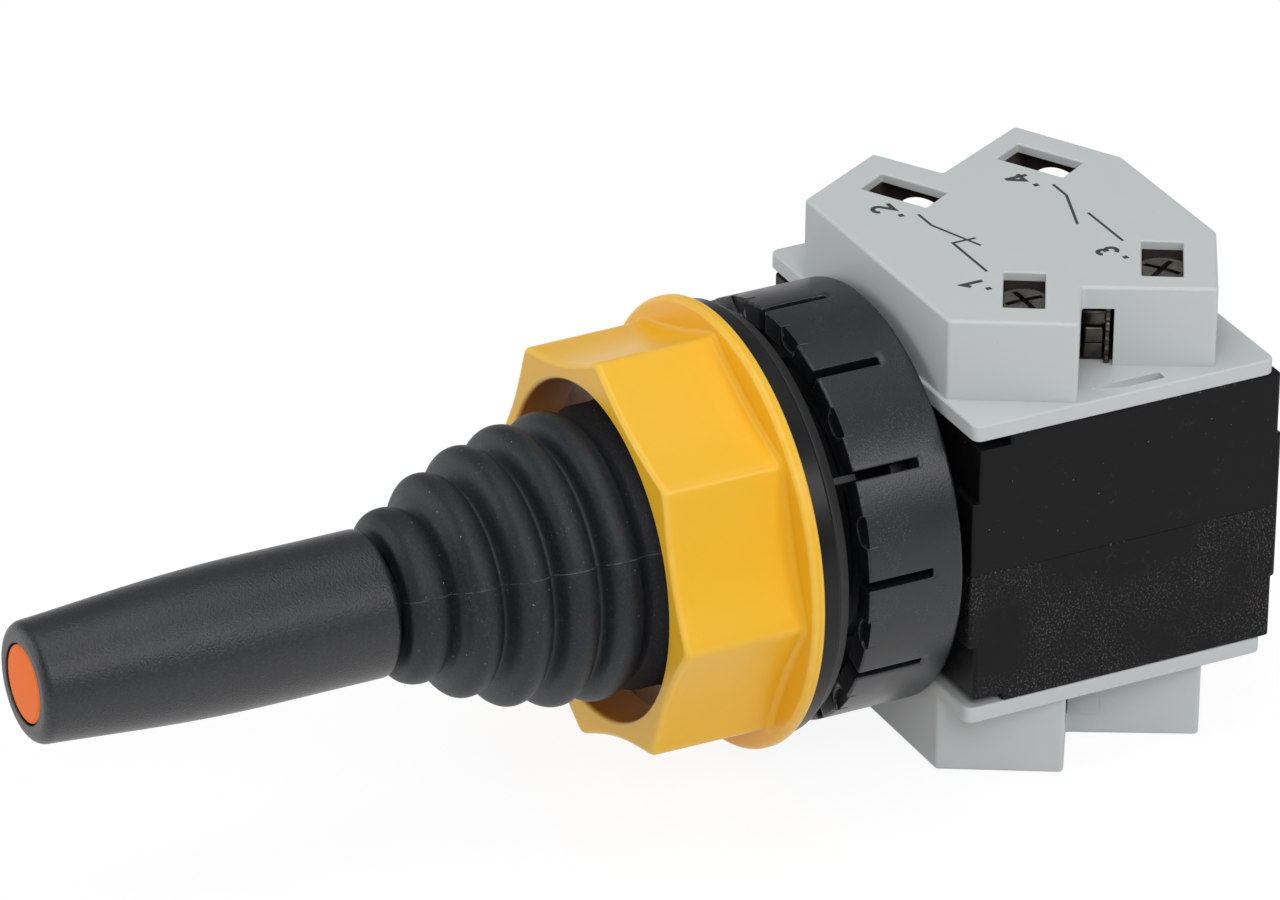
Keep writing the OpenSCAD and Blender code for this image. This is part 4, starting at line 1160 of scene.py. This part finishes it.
chamber_black = finish(
    "chamber black", tone(15, 15, 16), 0.36,
    parted(dusty(0.16, 0.09, tone(120, 122, 122), 0.1), DULL),
    grain=0.2, relief=0.005, Specular_IOR_Level=0.15)
chamber_rough = finish(
    "chamber black rough", tone(17, 17, 17), 0.5,
    parted(sanded(dusty(0.16, 0.2, tone(112, 108, 104), 0.2), tone(92, 90, 88)), DULL),
    grain=0.3, relief=0.012, Specular_IOR_Level=0.15)
block_grey = finish(
    "block grey", tone(202, 207, 207), 0.45, dusty(0.1, 0.04, tone(140, 144, 144), mottle=1.0),
    grain=0.18, Subsurface_Weight=0.08, Subsurface_Radius=(0.001, 0.001, 0.001),
    Subsurface_Scale=1.0, Specular_IOR_Level=0.4)
# Painted shade: this dark brown stands in for the shade inside the terminal rooms and under the
# cover.
room_shade = finish("painted room shade", tone(66, 57, 52), 0.6, Specular_IOR_Level=0.2)
ink = finish("ink", tone(58, 60, 62), 0.6, grain=0.1, relief=0.002)
# The raised lines round the rim marks are real; their lighter colour is a painted highlight.
flash_highlight = finish("flash line, painted highlight", tone(70, 68, 62), 0.4, dusty(0.1, 0.2, tone(140, 136, 128)), grain=0.2)
neck_black = finish("neck nylon", tone(22, 23, 25), 0.45, dusty(0.12, 0.1, tone(90, 92, 92)))
ivory = finish("slide ivory", tone(222, 216, 198), 0.5, dusty(0.12, 0.05, tone(170, 160, 140)))
red_brown = finish("plunger red brown", tone(128, 58, 50), 0.5,
                   dusty(0.1, 0.05, tone(160, 110, 100)))
print("plastics and rubbers ready")


# %% Metals
def metal(name, colour, roughness, tarnish, stretch=(1, 1, 1), grain=0.25, relief=0.004):
    """A metal whose fine brushing is noise stretched along one axis, tarnished in patches."""
    def paint(tree, base):
        patch = patches(tree, 1.8, 4.0, 0.45, 0.75)
        return blend_colour(tree, product(tree, patch, 0.7), base, tarnish)
    return finish(name, colour, roughness, paint, grain, relief, stretch, Metallic=1.0)


steel = metal("bright steel", tone(200, 203, 206), 0.3, tone(140, 140, 138), (1, 0.1, 1))
screw_steel = metal("screw steel", tone(128, 124, 116), 0.28, tone(50, 46, 40),
                    grain=0.3, relief=0.07)
# Painted shade: the steel seen through the side window is a darker copy of the clamp plates' steel,
# with near-black patches.
shaded_clamp_steel = metal("clamp steel with painted shade", tone(84, 80, 74), 0.34, tone(22, 20, 18), (1, 1, 0.2),
                    0.5, 0.03)
plate_steel = metal("plate steel", tone(150, 148, 142), 0.4, tone(84, 80, 72), (0.2, 1, 1))
spring_steel = metal("spring steel", tone(206, 208, 210), 0.22, tone(150, 150, 150))
brass = metal("brass", tone(206, 170, 98), 0.32, tone(140, 106, 60), (1, 0.1, 1))
bronze = metal("bronze", tone(188, 140, 84), 0.36, tone(126, 86, 50), (0.1, 1, 1))
copper = metal("contact copper", tone(206, 136, 96), 0.3, tone(130, 80, 54), (0.1, 1, 1))
print("metals ready")

# %% [markdown]
# Each new piece gets its finish; most ride on the body that they belong to, and most stand for a
# node, which is then hidden. The pieces that keep their node's own shape only get a better
# material. The nut and the disc also get an attribute that says where their surface bulges, so
# that their painted edge highlights follow the shape, and the bellows get one that is 1 on the
# mould's line.


# %% Where a surface bulges, and where the mould's line runs
def mark_edges(piece, radius):
    """Writes an attribute from 0 to 1 that grows as the surface curves outwards.

    For the two ends of a mesh edge it is (difference of normals) . (difference of places)
    over the squared length, averaged at each vertex and multiplied by a radius in metres."""
    mesh = piece.data
    place = corners_of(mesh)
    count = len(place)
    normal = np.empty(count * 3)
    mesh.vertex_normals.foreach_get("vector", normal)
    ends = np.empty(len(mesh.edges) * 2, int)
    mesh.edges.foreach_get("vertices", ends)
    normal, ends = normal.reshape(-1, 3), ends.reshape(-1, 2)
    step = place[ends[:, 1]] - place[ends[:, 0]]
    turn = ((normal[ends[:, 1]] - normal[ends[:, 0]]) * step).sum(1) / (step ** 2).sum(1)
    total = np.bincount(ends.ravel(), np.repeat(turn, 2), count)
    each = np.bincount(ends.ravel(), minlength=count)
    edge = np.clip(total / each * radius, 0, 1)
    return write_attribute(piece, "edge", edge)


def write_attribute(piece, name, values):
    """One number at each vertex, which a material reads by its name."""
    made = piece.data.attributes.new(name, "FLOAT", "POINT")
    made.data.foreach_set("value", values.astype(np.float32))
    return values


x, _, z = corners_of(bellows.data).T
away = np.arctan2(z, x) - MOULD_LINE
write_attribute(bellows, "line", np.exp(-(away / radians(0.2)) ** 2))
for piece in (nut, disc):
    print(piece.name, "edge share:", round(float((mark_edges(piece, 0.0012) > 0.5).mean()), 3))


def dress(piece, material, name, body="housing", stands=True):
    """Gives a piece its finish and, when a body is named, the body that carries it.

    A piece that stands for its node hides it. A piece without a body is left unattached."""
    piece.data.materials.clear()
    piece.data.materials.append(material)
    if body:
        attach(piece, body)
    if stands:
        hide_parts(name)


dress(grip, grip_black, "handle_grip", "lever")
dress(disc, orange, "cap_insert", "lever")
dress(nut, yellow, "bezel_nut")
dress(ring, ring_black, "thrust_ring")
dress(gasket, gasket_rubber, "front_gasket")
dress(lug, gasket_rubber, "front_gasket", stands=False)
dress(collar, collar_nylon, "slotted_collar")
dress(rim_marks, flash_highlight, "slotted_collar", stands=False)
for word, side in SIDES.items():
    dress(chambers[side], chamber_black if side > 0 else chamber_rough, f"chamber_{word}")
    dress(bases[side], block_grey, f"block_base_{word}")
    dress(covers[side], block_grey, f"block_cover_{word}")
    covers[side].data.materials.append(room_shade)
    paint_room_shade(covers[side])
    dress(prints[side], ink, f"block_cover_{word}", stands=False)
    dress(shade_sheets[side], room_shade, f"block_base_{word}", stands=False)
    dress(stacks[side], shaded_clamp_steel, f"clamp_plates_{word}", stands=False)
    dress(screws[side], screw_steel, f"terminal_screws_{word}")
dress(bellows, bellows_rubber, "bellows", None)
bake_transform(bellows)

# %% [markdown]
# The springs are coils from the frame, but a coil has to shorten when the piece that presses it
# moves. A copy of each, with its doubles merged, stands for its node and rides on no body.


# %% The springs
def squeeze(name):
    """A copy of a spring node with its doubles merged, which stands for the node."""
    mesh = nodes[name].data.copy()
    merged = bmesh.new()
    merged.from_mesh(mesh)
    bmesh.ops.remove_doubles(merged, verts=merged.verts, dist=1e-7)
    merged.to_mesh(mesh)
    merged.free()
    spring = add_object("coiled_" + name, mesh)
    dress(spring, spring_steel, name, None)
    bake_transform(spring)


for word, side in SIDES.items():
    squeeze(f"centring_springs_{word}")
    squeeze(f"plunger_spring_{word}")

# %% Finish the nodes that keep their shape
FINISHES = {
    "grip_thread_insert": brass, "lever_shaft": steel, "shaft_locknut": steel, "pivot_hub": steel,
    "pivot_sleeve": bronze, "lever_tail": steel, "pivot_pin": steel,
    "bellows_retaining_ring": spring_steel, "threaded_neck": neck_black, "chamber_screws": steel,
    "actuating_slide": ivory, "centring_springs": spring_steel, "block_screws": steel,
    "terminals": plate_steel, "terminal_screws": screw_steel, "clamp_plates": plate_steel,
    "plunger": red_brown, "nc_bridge": copper, "no_bridge": copper, "plunger_spring": spring_steel}
for name, part in nodes.items():
    if not part.hide_render:
        stem = name.removesuffix("_upper").removesuffix("_lower")
        part.data.materials.clear()
        part.data.materials.append(FINISHES[stem])
print("nodes shown:", sum(not part.hide_render for part in nodes.values()))

# %% [markdown]
# The studio is a plain pale floor with soft light from all round. Large lamps give the broad,
# quiet highlights that a light tent gives, with the brightest from above the camera. The floor
# is white to the camera and in reflections, but it still shows a soft shadow.


# %% The floor
def seen_from(tree, *kinds):
    """1 for a ray of one of the kinds, such as Camera, and 0 for the others."""
    rays = node(tree, "LightPath").outputs
    seen = rays[f"Is {kinds[0]} Ray"]
    for kind in kinds[1:]:
        seen = math(tree, "MAXIMUM", seen, rays[f"Is {kind} Ray"])
    return seen


def make_floor():
    """A square just under the part that is bright to the eye and plain to everything else."""
    half = 3.0
    corners = [(-half, -half), (half, -half), (half, half), (-half, half)]
    mesh = bpy.data.meshes.new("floor")
    mesh.from_pydata([(x, y, cad_box[0][2] - 0.0002) for x, y in corners], [], [(0, 1, 2, 3)])
    material = bpy.data.materials.new("floor white")
    material.use_nodes = True
    tree = material.node_tree
    tree.nodes.clear()
    seen = seen_from(tree, "Camera", "Glossy", "Transmission")
    plain = node(tree, "BsdfDiffuse", {"Color": (0.85, 0.85, 0.85, 1)}).outputs[0]
    glow = node(tree, "Emission", {"Color": (1, 1, 1, 1), "Strength": 1.07}).outputs[0]
    white = node(tree, "MixShader", {0: product(tree, seen, 0.85), 1: plain, 2: glow})
    node(tree, "OutputMaterial", {"Surface": white.outputs[0]})
    mesh.materials.append(material)
    return add_object("floor", mesh)


floor = make_floor()
print("floor at", round(floor.data.vertices[0].co.z * 1000, 1), "mm")


# %% The world and the lamps
def outwards(azimuth, elevation):
    """The direction of a bearing from the front and a height, both in degrees."""
    a, e = radians(azimuth), radians(elevation)
    return Vector((sin(a) * cos(e), -cos(a) * cos(e), sin(e)))


def aim(obj, place, target):
    """Puts an object at a place and turns its own -Z towards the target."""
    obj.location = place
    obj.rotation_euler = (target - obj.location).to_track_quat("-Z", "Y").to_euler()


def lamp(name, azimuth, elevation, distance, size, power):
    """A square soft lamp on a sphere about the object's middle."""
    light = bpy.data.lights.new(name, "AREA")
    light.size, light.energy = size, power
    middle = (cad_box[0] + cad_box[1]) / 2
    aim(add_object(name, light), middle + outwards(azimuth, elevation) * distance, middle)


world = bpy.data.worlds.new("studio")
scene.world = world
world.use_nodes = True
world_tree = world.node_tree
strength = node(world_tree, "MapRange", {"Value": seen_from(world_tree, "Camera", "Transmission"),
                                         "To Min": 0.3, "To Max": 1.0})
background = world_tree.nodes["Background"]
background.inputs["Color"].default_value = (1, 1, 1, 1)
world_tree.links.new(strength.outputs["Result"], background.inputs["Strength"])
lamp("key", 70, 42, 0.9, 0.42, 2.1)
lamp("right", 115, 33, 0.9, 0.3, 1.3)
lamp("top", 0, 88, 0.8, 0.7, 2.2)
lamp("left", -30, 15, 1.0, 0.6, 2.3)

# %% [markdown]
# The camera looks down on the joystick from its right front with a long lens, which keeps
# parallel lines nearly parallel. It is set by its bearing, its height, its distance and the
# point that it aims at, and a small roll.

# %% The camera
BEARING, HEIGHT, ROLL = 62.667, 27.982, 0.61
DISTANCE, FOCAL_LENGTH = 0.8649, 236.68
AIM_POINT = Vector((-0.0028, -0.0134, 0.0087))
camera_data = bpy.data.cameras.new("camera")
camera_data.lens, camera_data.sensor_width = FOCAL_LENGTH, 36.0
camera = add_object("camera", camera_data)
direction = outwards(BEARING, HEIGHT)
turn = direction.to_track_quat("Z", "Y").to_matrix().to_4x4()
roll = Matrix.Rotation(radians(ROLL), 4, "Z")
camera.matrix_world = Matrix.Translation(AIM_POINT + direction * DISTANCE) @ turn @ roll
scene.camera = camera
scene.view_settings.view_transform = "Standard"
print("camera at", [round(v, 3) for v in camera.matrix_world.translation])
